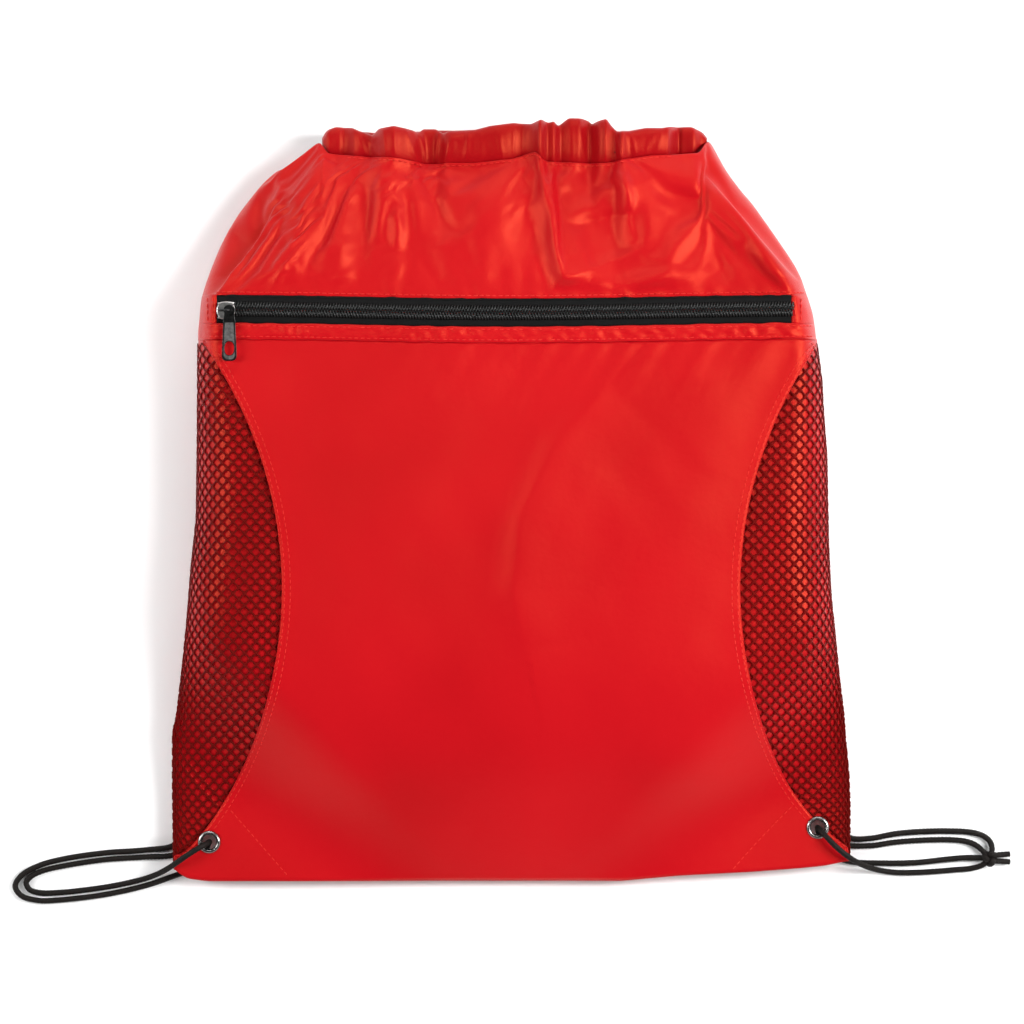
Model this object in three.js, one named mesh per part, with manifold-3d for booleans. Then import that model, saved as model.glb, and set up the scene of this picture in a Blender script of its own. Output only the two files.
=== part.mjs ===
// A drawstring backpack lying on its back, stuffed lightly, with its mouth drawn shut.
// +X is across the bag, +Y runs towards the mouth and +Z out of the front. Millimetres.
// Heights below are measured from the bottom seam (y = 0); the last lines centre the bag.
import * as THREE from "three";
import { mergeVertices } from "three/addons/utils/BufferGeometryUtils.js";
import Module from "manifold-3d";

const wasm = await Module();
wasm.setup();

// ---- driving dimensions ----
const BAG_LENGTH = 411.4;
const HALF_WIDTH = 184; // at the bottom seam
const FABRIC = 0.7;
const GAP = 0.3; // between pieces that touch
const CORNER_STACK = 5.4; // every layer of fabric at a sewn bottom corner
const SEAM_STACK = 2.2; // where front meets back along the side seams
const POCKET_DEPTH = 4; // free space between the pocket's front and its inner wall
const LAYER_SPACE = 2.2; // pocket front to inner wall, where they are sewn together

const ZIP_Y = 309; // centre line of the zipper
const ZIP_Z = 52; // outer face of the zipper tape
const TAPE_HALF_LENGTH = 158.5;
const TAPE_HALF_WIDTH = 7.5;
const COIL_WIDTH = 3.2;
const COIL_HEIGHT = 2;
const CHAIN_GAP = 1; // between the two coils, where the slider's post runs
const HEM_HEIGHT = 8.7;
const HEM_TOP = ZIP_Y - TAPE_HALF_WIDTH - GAP;
const POCKET_TOP = HEM_TOP - HEM_HEIGHT - GAP;
const UPPER_PANEL_BOTTOM = ZIP_Y + TAPE_HALF_WIDTH + GAP;

const SLIDER_X = -152.9; // the slider rests at the left end of the zipper
const SLIDER_LENGTH = 10;
const SLIDER_WIDTH = 9.4;
const PIVOT_FROM_SLIDER = 1.9; // the pull hangs on the right foot of the bridge
const PULL_LENGTH = 27.2; // from the pivot to the pull's tip
const PULL_HEAD_RADIUS = 3.1;
const PULL_TIP_HALF_WIDTH = 4;
const PULL_THICKNESS = 1.4;

const WAIST_ARC_RADIUS = 222; // the two arcs that cut the pocket's front to an hourglass
const WAIST_ARC_X = 345;
const WAIST_ARC_Y = 160;

const PATCH_WIDTH = 65; // corner patch along the bottom seam
const PATCH_HEIGHT = 74.5; // and along the side seam
const EYELETS = { left: [-164.3, 21.3], right: [166.9, 29.2] };
const EYELET_HOLE_RADIUS = 4;
const EYELET_BARREL_RADIUS = 4.6;
const EYELET_FLANGE_RADIUS = 6.2;
const EYELET_CUT_RADIUS = 4.9;

const CHANNEL_HALF_LENGTH = 91;
const CHANNEL_Y = 402.9;
const CHANNEL_HALF_HEIGHT = 8.5; // along the bag
const CHANNEL_HALF_DEPTH = 3.5; // out of the bag
const CHANNEL_TOP = CHANNEL_Y - CHANNEL_HALF_HEIGHT - GAP; // where the panels end below it
const CORD_LANE = 3.75; // each cord's distance from the middle of the channel

const CORD_RADIUS = 1.6;
const LIE = 1.75; // height of a cord's centre line where it lies on the ground
const CORD_END_SPACE = 0.5; // from a channel's end to each of the two cord ends that meet there
const KNOT_RADIUS = 4.4;
const LEFT_KNOT = [-161.5, 145, 4.5];
const RIGHT_KNOT = [261.4, 11.9, 4.5];

// Half-width of the bag at a height, and the height above the surface of its side seams and crown.
const OUTLINE = [[0, 184], [60, 184], [100, 180.5], [150, 175], [200, 171.5], [280, 169], [315, 166],
  [340, 155], [365, 138], [390, 113], [408, 92]];
const SEAM_HEIGHTS = [[0, 8.5], [45, 8.5], [120, 20], [340, 20], [414, 17]];
const CROWN_HEIGHTS = [[0, 50], [110, 54], [200, 55], [285, 52], [332, 52], [360, 46], [394, 34]];
const SIDE_SHARPNESS = [[0, 10], [220, 10], [284, 60], [334, 60], [356, 10], [414, 8]];

// ---- shape of the bag ----
function along(table, value) {
  const last = table.length - 1;
  if (value <= table[0][0]) return table[0][1];
  for (let i = 0; i < last; i++) {
    const [a, low] = table[i];
    const [b, high] = table[i + 1];
    if (value <= b) return low + ((high - low) * (value - a)) / (b - a);
  }
  return table[last][1];
}

const halfWidth = (y) => along(OUTLINE, y);

// Distance from the sewn line of the corner patch, towards the middle of the bag.
function fromCorner(x, y) {
  const scale = (PATCH_WIDTH * PATCH_HEIGHT) / Math.hypot(PATCH_WIDTH, PATCH_HEIGHT);
  return ((HALF_WIDTH - Math.abs(x)) / PATCH_WIDTH + y / PATCH_HEIGHT - 1) * scale;
}

// How far the bag has swollen at a point of the front: 0 at a seam or flat corner, 1 in the middle.
function swell(x, y) {
  const side = 1 - (Math.abs(x) / halfWidth(y)) ** along(SIDE_SHARPNESS, y);
  const bottom = 1 - (1 - Math.min(y / 90, 1)) ** 2.5;
  return side * bottom * THREE.MathUtils.smoothstep(fromCorner(x, y), 2, 50);
}

function frontHeight(x, y) {
  const bottom = (1 - Math.min(y / 90, 1)) ** 2.5;
  const corner = 1 - THREE.MathUtils.smoothstep(fromCorner(x, y), 2, 50);
  const stack = SEAM_STACK + (CORNER_STACK - SEAM_STACK) * Math.max(bottom, corner);
  const base = along(SEAM_HEIGHTS, y) + stack;
  return base + (along(CROWN_HEIGHTS, y) - base) * swell(x, y);
}

function backHeight(x, y) {
  const flatShare = 0.6; // of the half-width that rests flat
  const side = Math.max(0, (Math.abs(x) / halfWidth(y) - flatShare) / (1 - flatShare)) ** 2.5;
  const bottom = Math.max(0, 1 - y / 28) ** 2;
  const corner = THREE.MathUtils.smoothstep(fromCorner(x, y), 12, 37);
  return along(SEAM_HEIGHTS, y) * (1 - (1 - side) * (1 - bottom) * corner);
}

function offsetPoint(height, x, y, offset) {
  const step = 0.05;
  const slopeX = (height(x + step, y) - height(x - step, y)) / (2 * step);
  const slopeY = (height(x, y + step) - height(x, y - step)) / (2 * step);
  const normal = new THREE.Vector3(-slopeX, -slopeY, 1).normalize();
  return new THREE.Vector3(x, y, height(x, y)).addScaledVector(normal, offset);
}

// ---- building blocks ----
// A closed slab between two grids of points; rows run along +Y and columns along +X.
function slab(outer, inner) {
  const rows = outer.length;
  const columns = outer[0].length;
  const index = [];
  const at = (layer, i, j) => (layer * rows + i) * columns + j;
  const quad = (a, b, c, d) => index.push(a, b, c, a, c, d);
  for (let i = 0; i < rows - 1; i++) {
    for (let j = 0; j < columns - 1; j++) {
      quad(at(0, i, j), at(0, i, j + 1), at(0, i + 1, j + 1), at(0, i + 1, j));
      quad(at(1, i, j), at(1, i + 1, j), at(1, i + 1, j + 1), at(1, i, j + 1));
    }
    quad(at(0, i, 0), at(0, i + 1, 0), at(1, i + 1, 0), at(1, i, 0));
    quad(at(1, i, columns - 1), at(1, i + 1, columns - 1), at(0, i + 1, columns - 1), at(0, i, columns - 1));
  }
  for (let j = 0; j < columns - 1; j++) {
    quad(at(1, 0, j), at(1, 0, j + 1), at(0, 0, j + 1), at(0, 0, j));
    quad(at(0, rows - 1, j), at(0, rows - 1, j + 1), at(1, rows - 1, j + 1), at(1, rows - 1, j));
  }
  const geometry = new THREE.BufferGeometry();
  const points = [...outer.flat(), ...inner.flat()].flatMap((p) => p.toArray());
  geometry.setAttribute("position", new THREE.Float32BufferAttribute(points, 3));
  geometry.setIndex(index);
  return geometry;
}

// A piece of fabric on a height field: rows are heights, edges(y) its left and right x, columns the
// shares of the way between them, and depth(x, y) how far its outer face lies under the field.
function panel({ height = frontHeight, rows, edges, columns, depth = () => 0, thickness = FABRIC }) {
  const grid = (extra) =>
    rows.map((y) => {
      const [left, right] = edges(y);
      return columns.map((share) => {
        const x = left + (right - left) * share;
        return offsetPoint(height, x, y, -depth(x, y) - extra);
      });
    });
  return slab(grid(0), grid(thickness));
}

// Shares of the way across, closer together near both edges.
const ACROSS = [0, 0.005, 0.012, 0.022, 0.036, 0.055, 0.08, 0.13, 0.2, 0.3, 0.4, 0.5];
const BOTH_SIDES = [...ACROSS, ...ACROSS.slice(0, -1).reverse().map((share) => 1 - share)];
const COARSE_SIDES = [0, 0.02, 0.05, 0.1, 0.15, 0.2, 0.35, 0.5, 0.65, 0.8, 0.85, 0.9, 0.95, 0.98, 1];
const TO_OUTER_EDGE = [0, 0.2, 0.4, 0.55, 0.68, 0.78, 0.86, 0.92, 0.96, 1];
const POCKET_ROWS = [0, 7, 14, 24, 36, 50, 70, 95, 125, 160, 195, 225, 250, 270, 284, POCKET_TOP];
const fullWidth = (y) => [-halfWidth(y), halfWidth(y)];

function solidFrom(geometry) {
  const bare = new THREE.BufferGeometry();
  bare.setAttribute("position", geometry.getAttribute("position"));
  bare.setIndex(geometry.getIndex());
  const merged = mergeVertices(bare, 1e-3);
  const vertProperties = new Float32Array(merged.attributes.position.array);
  const triVerts = new Uint32Array(merged.index.array);
  return new wasm.Manifold(new wasm.Mesh({ numProp: 3, vertProperties, triVerts }));
}

function geometryFrom(solid) {
  const { vertProperties, triVerts } = solid.getMesh();
  const geometry = new THREE.BufferGeometry();
  geometry.setAttribute("position", new THREE.BufferAttribute(vertProperties, 3));
  geometry.setIndex(new THREE.BufferAttribute(triVerts, 1));
  return geometry;
}

function joined(...geometries) {
  return geometryFrom(geometries.map(solidFrom).reduce((a, b) => a.add(b)));
}

function withEyeletHoles(geometry, sides = ["left", "right"]) {
  let solid = solidFrom(geometry);
  for (const side of sides) {
    const [x, y] = EYELETS[side];
    const drill = new THREE.CylinderGeometry(EYELET_CUT_RADIUS, EYELET_CUT_RADIUS, 60, 20);
    drill.rotateX(Math.PI / 2).translate(x, y, 20);
    solid = solid.subtract(solidFrom(drill));
  }
  return geometryFrom(solid);
}

function block(x0, x1, y0, y1, z0, z1) {
  const geometry = new THREE.BoxGeometry(x1 - x0, y1 - y0, z1 - z0);
  return geometry.translate((x0 + x1) / 2, (y0 + y1) / 2, (z0 + z1) / 2);
}

// A curve stepped from control point to control point, so that close points give close steps.
class HandRoute extends THREE.CatmullRomCurve3 {
  getSpacedPoints(steps) {
    return this.getPoints(steps);
  }
  getPointAt(t, target) {
    return this.getPoint(t, target);
  }
  getTangentAt(t, target) {
    return this.getTangent(t, target);
  }
}

function cord(points) {
  const section = new THREE.Shape();
  section.absarc(0, 0, CORD_RADIUS, 0, 2 * Math.PI);
  const route = new HandRoute(points.map((p) => new THREE.Vector3(...p)));
  const steps = 2 * (points.length - 1);
  const shape = { extrudePath: route, steps, curveSegments: 4, bevelEnabled: false };
  return new THREE.ExtrudeGeometry(section, shape);
}

// ---- fabric ----
const pocketWallDepth = (x, y) => LAYER_SPACE + POCKET_DEPTH * swell(x, y);
const waistEdge = (y) => WAIST_ARC_X - Math.sqrt(WAIST_ARC_RADIUS ** 2 - (y - WAIST_ARC_Y) ** 2);
const hourglassEdge = (y) => Math.min(waistEdge(y), halfWidth(y));

function backPanel() {
  const rows = [0, 7, 14, 24, 36, 45, 57, 70, 95, 125, 160, 200, 240, 290, 340, 365, CHANNEL_TOP];
  const edges = fullWidth;
  const shape = panel({ height: backHeight, rows, edges, columns: COARSE_SIDES, depth: () => -FABRIC });
  return withEyeletHoles(shape);
}

function pocketBackPanel() {
  const rows = [...POCKET_ROWS.slice(0, -1), 293, 302, UPPER_PANEL_BOTTOM - GAP];
  return withEyeletHoles(panel({ rows, edges: fullWidth, columns: BOTH_SIDES, depth: pocketWallDepth }));
}

function upperFrontPanel() {
  const rows = [UPPER_PANEL_BOTTOM, 325, 334, 345, 356, 366, 376, 386, CHANNEL_TOP];
  return panel({ rows, edges: fullWidth, columns: BOTH_SIDES });
}

function pocketFrontPanel() {
  const edges = (y) => [-hourglassEdge(y), hourglassEdge(y)];
  return withEyeletHoles(panel({ rows: POCKET_ROWS, edges, columns: BOTH_SIDES }));
}

// The mesh fills the side between the hourglass edge and the side seam; sign is -1 on the left.
function meshPanel(sign) {
  const seamSpace = 0.5;
  const leastWidth = 2;
  const room = (y) => halfWidth(y) - hourglassEdge(y) - seamSpace;
  const rows = POCKET_ROWS.filter((y) => room(y) > leastWidth);
  const edges = (y) => {
    const pair = [sign * (hourglassEdge(y) + seamSpace), sign * halfWidth(y)];
    return sign > 0 ? pair : pair.reverse();
  };
  const mirrored = TO_OUTER_EDGE.map((share) => 1 - share).reverse();
  const shape = panel({ rows, edges, columns: sign > 0 ? TO_OUTER_EDGE : mirrored });
  return withEyeletHoles(shape, [sign > 0 ? "right" : "left"]);
}

function pocketTopHem() {
  const rows = [HEM_TOP - HEM_HEIGHT, HEM_TOP - HEM_HEIGHT / 2, HEM_TOP];
  return panel({ rows, edges: fullWidth, columns: BOTH_SIDES });
}

function endTab(sign) {
  const rows = [ZIP_Y - TAPE_HALF_WIDTH, ZIP_Y, ZIP_Y + TAPE_HALF_WIDTH];
  const columns = [0, 0.25, 0.5, 0.7, 0.85, 1];
  const edges = (y) => {
    const pair = [sign * (TAPE_HALF_LENGTH + GAP), sign * halfWidth(y)];
    return sign > 0 ? pair : pair.reverse();
  };
  return panel({ rows, edges, columns: sign > 0 ? columns : columns.map((share) => 1 - share).reverse() });
}

function cornerPatch(side) {
  const sign = side === "left" ? -1 : 1;
  const inset = 1.5;
  const edges = (y) => {
    const line = HALF_WIDTH - PATCH_WIDTH + (PATCH_WIDTH * y) / PATCH_HEIGHT;
    const pair = [sign * line, sign * (halfWidth(y) - inset)];
    return sign > 0 ? pair : pair.reverse();
  };
  const rows = [inset, 12, 24, 36, 45, 57, 68];
  const depth = () => -FABRIC - 1;
  const columns = [0, 0.25, 0.5, 0.75, 1];
  const shape = panel({ height: backHeight, rows, edges, columns, depth, thickness: 0.6 });
  return withEyeletHoles(shape, [side]);
}

// ---- drawcord channels: flat hollow casings along the mouth ----
const frontChannelZ = (x) => 31 - 7 * (x / CHANNEL_HALF_LENGTH) ** 2;
const backChannelZ = (x) => 4.2 + 7 * (x / CHANNEL_HALF_LENGTH) ** 4;

function channel(centreZ) {
  const stations = 12;
  const arcSteps = 4;
  const loop = (inset) => {
    const radius = CHANNEL_HALF_DEPTH - inset;
    const middle = CHANNEL_HALF_HEIGHT - CHANNEL_HALF_DEPTH;
    const points = [];
    for (const end of [1, -1]) {
      for (let k = 0; k <= arcSteps; k++) {
        const angle = -Math.PI / 2 + (Math.PI * k) / arcSteps;
        points.push([end * (middle + radius * Math.cos(angle)), end * radius * Math.sin(angle)]);
      }
    }
    return points;
  };
  const rings = [loop(0), loop(FABRIC)];
  const count = rings[0].length;
  const points = [];
  for (let i = 0; i <= stations; i++) {
    const x = CHANNEL_HALF_LENGTH * ((2 * i) / stations - 1);
    for (const ring of rings) {
      for (const [y, z] of ring) points.push(x, CHANNEL_Y + y, centreZ(x) + z);
    }
  }
  const at = (station, ring, k) => (2 * station + ring) * count + (k % count);
  const index = [];
  const quad = (a, b, c, d) => index.push(a, b, c, a, c, d);
  for (let k = 0; k < count; k++) {
    for (let i = 0; i < stations; i++) {
      quad(at(i, 0, k), at(i, 0, k + 1), at(i + 1, 0, k + 1), at(i + 1, 0, k));
      quad(at(i, 1, k), at(i + 1, 1, k), at(i + 1, 1, k + 1), at(i, 1, k + 1));
    }
    quad(at(0, 0, k), at(0, 1, k), at(0, 1, k + 1), at(0, 0, k + 1));
    quad(at(stations, 0, k), at(stations, 0, k + 1), at(stations, 1, k + 1), at(stations, 1, k));
  }
  const geometry = new THREE.BufferGeometry();
  geometry.setAttribute("position", new THREE.Float32BufferAttribute(points, 3));
  geometry.setIndex(index);
  return geometry;
}

// ---- zipper ----
function tape(side) {
  const near = side * (CHAIN_GAP / 2);
  const far = side * TAPE_HALF_WIDTH;
  const [low, high] = [near, far].sort((a, b) => a - b);
  return block(-TAPE_HALF_LENGTH, TAPE_HALF_LENGTH, ZIP_Y + low, ZIP_Y + high, ZIP_Z - FABRIC, ZIP_Z);
}

function coil(side) {
  const near = side * (CHAIN_GAP / 2);
  const far = side * (CHAIN_GAP / 2 + COIL_WIDTH);
  const [low, high] = [near, far].sort((a, b) => a - b);
  const bottom = ZIP_Z + GAP;
  return block(-TAPE_HALF_LENGTH, TAPE_HALF_LENGTH, ZIP_Y + low, ZIP_Y + high, bottom, bottom + COIL_HEIGHT);
}

const SLIDER_TOP = ZIP_Z + GAP + COIL_HEIGHT + GAP + 1; // upper face of the slider's top plate
const PULL_BOTTOM = SLIDER_TOP + GAP;
const BRIDGE_BOTTOM = PULL_BOTTOM + PULL_THICKNESS + 0.4;
const BRIDGE_TOP = BRIDGE_BOTTOM + 0.8;

// Top and bottom plates joined by a post between the coils, side lips, and the bridge that holds the pull.
function slider() {
  const half = SLIDER_LENGTH / 2;
  const halfWide = SLIDER_WIDTH / 2;
  const lip = CHAIN_GAP / 2 + COIL_WIDTH + GAP;
  const underTape = ZIP_Z - FABRIC - GAP;
  const [left, right] = [SLIDER_X - half, SLIDER_X + half];
  const pivot = SLIDER_X + PIVOT_FROM_SLIDER;
  const foot = new THREE.CylinderGeometry(0.8, 0.8, BRIDGE_TOP - SLIDER_TOP + 0.5, 10);
  foot.rotateX(Math.PI / 2).translate(pivot, ZIP_Y, (BRIDGE_TOP + SLIDER_TOP - 0.5) / 2);
  return joined(
    block(left, right, ZIP_Y - halfWide, ZIP_Y + halfWide, SLIDER_TOP - 1, SLIDER_TOP),
    block(left, right, ZIP_Y - halfWide, ZIP_Y - lip, ZIP_Z + GAP, SLIDER_TOP - 0.5),
    block(left, right, ZIP_Y + lip, ZIP_Y + halfWide, ZIP_Z + GAP, SLIDER_TOP - 0.5),
    block(left, right, ZIP_Y - halfWide, ZIP_Y + halfWide, underTape - 0.8, underTape),
    block(SLIDER_X - 1.5, SLIDER_X + 1.5, ZIP_Y - 0.25, ZIP_Y + 0.25, underTape - 0.5, SLIDER_TOP - 0.5),
    block(SLIDER_X - 4.2, SLIDER_X - 3.2, ZIP_Y - 1, ZIP_Y + 1, SLIDER_TOP - 0.5, BRIDGE_TOP),
    block(SLIDER_X - 4.2, pivot + 0.9, ZIP_Y - 1, ZIP_Y + 1, BRIDGE_BOTTOM, BRIDGE_TOP),
    foot,
  );
}

function pull() {
  const outline = new THREE.Shape();
  const neck = 0.7; // the head's arc runs past its widest point by this angle, to meet the straight sides
  const tip = -PULL_LENGTH;
  const round = 2;
  outline.absarc(0, 0, PULL_HEAD_RADIUS, -neck / 2, Math.PI + neck / 2);
  outline.lineTo(-PULL_TIP_HALF_WIDTH, tip + round);
  outline.absarc(-PULL_TIP_HALF_WIDTH + round, tip + round, round, Math.PI, 1.5 * Math.PI);
  outline.absarc(PULL_TIP_HALF_WIDTH - round, tip + round, round, 1.5 * Math.PI, 2 * Math.PI);
  const eye = new THREE.Path();
  eye.absarc(0, 0, 1.3, 0, 2 * Math.PI);
  const window = new THREE.Path();
  window.absellipse(0, tip + 6.8, 2.7, 3.8, 0, 2 * Math.PI);
  outline.holes.push(eye, window);
  const plate = new THREE.ExtrudeGeometry(outline, {
    depth: PULL_THICKNESS,
    curveSegments: 8,
    bevelEnabled: false,
  });
  return plate;
}

// ---- eyelets ----
const CORNER_BOTTOM = SEAM_HEIGHTS[0][1]; // underside of the back panel at a corner
const CORNER_TOP = CORNER_BOTTOM + CORNER_STACK;

function ring(profile) {
  const points = [...profile, profile[0]].map(([r, z]) => new THREE.Vector2(r, z));
  return new THREE.LatheGeometry(points, 24).rotateX(Math.PI / 2);
}

function eyelet() {
  const foot = CORNER_BOTTOM - GAP - 1;
  const seat = CORNER_TOP + GAP;
  const top = seat + 1;
  return ring([
    [EYELET_HOLE_RADIUS, foot],
    [EYELET_BARREL_RADIUS, foot],
    [EYELET_BARREL_RADIUS, seat],
    [EYELET_FLANGE_RADIUS, seat],
    [EYELET_FLANGE_RADIUS - 0.4, top],
    [EYELET_HOLE_RADIUS + 0.4, top],
    [EYELET_HOLE_RADIUS, top - 0.5],
  ]);
}

function washer() {
  const top = CORNER_BOTTOM - GAP;
  return ring([
    [EYELET_CUT_RADIUS, top - 0.8],
    [EYELET_FLANGE_RADIUS, top - 0.8],
    [EYELET_FLANGE_RADIUS, top],
    [EYELET_CUT_RADIUS, top],
  ]);
}

// ---- cords ----
const frontExit = frontChannelZ(CHANNEL_HALF_LENGTH);
const backExit = backChannelZ(CHANNEL_HALF_LENGTH);

// Each cord runs through both channels and turns round outside them, on the side away from its eyelet.
function channelCord(sign, laneY) {
  const turn = (frontExit - backExit) / 2;
  const middle = (frontExit + backExit) / 2;
  const end = CHANNEL_HALF_LENGTH - CORD_END_SPACE;
  const inside = [-60, -30, 0, 30, 60];
  const points = [[-end, frontExit], ...inside.map((x) => [x, frontChannelZ(x)])];
  for (let k = 0; k <= 4; k++) {
    const angle = (Math.PI * k) / 4;
    points.push([CHANNEL_HALF_LENGTH + turn * Math.sin(angle), middle + turn * Math.cos(angle)]);
  }
  points.push(...inside.reverse().map((x) => [x, backChannelZ(x)]), [-end, backExit]);
  return cord(points.map(([x, z]) => [sign * x, laneY, z]));
}

const LEFT_LANE = CHANNEL_Y - CORD_LANE;
const RIGHT_LANE = CHANNEL_Y + CORD_LANE;
const EXIT_X = CHANNEL_HALF_LENGTH + CORD_END_SPACE;

// Front channel, down under the left side, round the outer loop, up through the eyelet, over the
// corner, round the inner loop and back under the side to the knot.
const LEFT_LONG = [
  [-EXIT_X, LEFT_LANE, frontExit], [-98, 399.3, 21.8], [-103.8, 397.6, 16.5], [-107.8, 394.4, 10.3],
  [-110, 389, 5.2], [-113, 380.5, 2.3], [-119, 371.5, LIE], [-128.5, 360, LIE], [-141, 344, LIE],
  [-153, 322, LIE], [-160, 290, LIE], [-163.5, 240, LIE], [-166.5, 180, LIE], [-172.5, 110, LIE],
  [-177, 65, LIE], [-177.6, 36, LIE], [-179.4, 26, LIE], [-184.5, 18.8, LIE], [-199.8, 16.2, LIE],
  [-222.1, 14.6, LIE], [-244.4, 11.3, LIE], [-258.5, 7.4, LIE], [-268, 1.8, LIE], [-271, -3.8, LIE],
  [-267.5, -8.9, LIE], [-258, -11.4, LIE], [-247.6, -11.2, LIE], [-222.1, -8.2, LIE], [-199.8, -3.3, LIE],
  [-184.6, 1.9, LIE], [-177.5, 4.6, LIE], [-171.8, 9, 1.9], [-167.4, 15.2, 3.8], [-165, 20.1, 7.4],
  [-164.4, 21.2, 11.6], [-165.4, 20.7, 15.6], [-168.2, 19.2, 18.4], [-172, 17, 19.3], [-176.6, 14, 18.8],
  [-181.6, 10.4, 17.2], [-186.2, 7.2, 13.8], [-191.1, 4.3, 8.8], [-196.6, 1.8, 4.2], [-203.5, -0.4, 2.1],
  [-222.1, -4.2, LIE], [-247.6, -7.1, LIE], [-258, -7.1, LIE], [-263.2, -5.4, LIE], [-265, -1.6, LIE],
  [-262.2, 1.8, LIE], [-255.5, 4.9, LIE], [-244.4, 7.5, LIE], [-222.1, 10.9, LIE], [-199.8, 12.4, LIE],
  [-184.5, 13.4, LIE], [-177.4, 17.2, LIE], [-173.9, 24.6, LIE], [-173.2, 40, LIE], [-171, 80, LIE],
  [-165.5, 118, LIE], [-162, 133, 2.4], [-161.5, 140, 3.6],
];
// Back channel to the knot, under the left side.
const LEFT_SHORT = [
  [-EXIT_X, LEFT_LANE, backExit], [-98, 398.6, 8.4], [-102.5, 395.3, 4.7], [-105, 389.5, 2.5],
  [-108, 380.5, LIE], [-114.5, 370, LIE], [-124, 357, LIE], [-136, 340, LIE], [-147.5, 318, LIE],
  [-155, 288, LIE], [-158.5, 240, LIE], [-161, 185, LIE], [-161.5, 162, 2], [-161.5, 150, 3.6],
];
// Front channel, down under the right side and out to the knot.
const RIGHT_FRONT = [
  [EXIT_X, RIGHT_LANE, frontExit], [97.6, 406.4, 21.6], [103, 404.3, 16], [106.6, 400, 10.3],
  [108.8, 394, 5.6], [111.6, 385, 2.5], [117, 375, LIE], [127, 361.8, LIE], [140, 345, LIE],
  [152, 323, LIE], [159.5, 290, LIE], [163.5, 240, LIE], [166.5, 180, LIE], [172.5, 110, LIE],
  [177, 65, LIE], [177.8, 38, LIE], [179.8, 28.2, LIE], [185.5, 22.8, LIE], [196.6, 22.6, LIE],
  [209.6, 25, LIE], [222, 26.2, LIE], [238.9, 26.6, LIE], [251.5, 25.9, LIE], [258, 23.9, 1.7],
  [261.6, 20.9, 2.4], [262.7, 16.9, 3.6],
];
// Back channel to the same knot.
const RIGHT_BACK = [
  [EXIT_X, RIGHT_LANE, backExit], [97, 405.8, 8], [101.5, 402, 4.4], [104, 395.5, 2.5],
  [106.5, 385.5, LIE], [112.5, 373.5, LIE], [122.5, 359, LIE], [135, 341.5, LIE], [146.8, 319.5, LIE],
  [154.6, 288, LIE], [158.8, 240, LIE], [162, 180, LIE], [168, 110, LIE], [172.6, 65, LIE],
  [173.6, 36, LIE], [175.4, 25.6, LIE], [181, 19.6, LIE], [196.6, 18.6, LIE], [209.6, 20.4, LIE],
  [222, 21.4, LIE], [239, 21.8, LIE], [248.5, 20.9, 1.7], [254, 18.8, 2.4], [257.8, 15.6, 3.6],
];
// A bight from the knot over the corner, down through the right eyelet and back under it.
const RIGHT_BIGHT = [
  [257.8, 8.3, 3.6], [251.8, 6.2, 2.2], [243.3, 5.4, LIE], [230.8, 4.4, LIE], [217.7, 3.8, LIE],
  [209, 4, 1.9], [202.4, 5, 3.4], [196.6, 6.6, 7.4], [191.3, 8.8, 12.4], [186.2, 11.6, 16.6], [180.6, 15.6, 18.8],
  [175.4, 20.2, 19.3], [171.2, 24.6, 18.4], [168.2, 27.9, 15.6], [167, 29, 11.6], [167.3, 27.7, 7.4],
  [168.9, 22.9, 3.8], [172.2, 17.4, 2], [177.2, 12.8, LIE], [185, 9.9, LIE], [205, 9, LIE],
  [222, 9.4, LIE], [238.9, 11.2, LIE], [248.5, 12, 2.2], [256.3, 12, 3.6],
];

// A tied knot with its two cut ends, which lie side by side.
function knot([x, y, z], tailAngle) {
  const tailLength = 11;
  const ball = new THREE.SphereGeometry(KNOT_RADIUS, 12, 8);
  const tails = [-1.8, 1.8].map((offset) => {
    const tail = new THREE.CylinderGeometry(CORD_RADIUS, CORD_RADIUS, tailLength, 8);
    return tail.rotateZ(-Math.PI / 2).translate(tailLength / 2, offset, -1.8);
  });
  return joined(ball, ...tails).rotateZ(tailAngle).translate(x, y, z);
}

// ---- assembly ----
const COLOURS = {
  red_fabric: [0xb3141c, 0.6, 0],
  mesh_fabric: [0x2b0608, 0.8, 0],
  zipper_tape: [0x161614, 0.9, 0],
  zipper_coil: [0x2a2a29, 0.5, 0],
  slider_metal: [0x8d8f90, 0.3, 1],
  pull_metal: [0x3c3d3e, 0.4, 0.8],
  eyelet_metal: [0x4a4a48, 0.35, 1],
  cord_braid: [0x1c1715, 0.85, 0],
};

const bag = new THREE.Group();

function add(name, slot, geometry) {
  const [color, roughness, metalness] = COLOURS[slot];
  const material = new THREE.MeshStandardMaterial({ color, roughness, metalness });
  const mesh = new THREE.Mesh(geometry, material);
  mesh.name = name;
  bag.add(mesh);
  return mesh;
}

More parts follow.
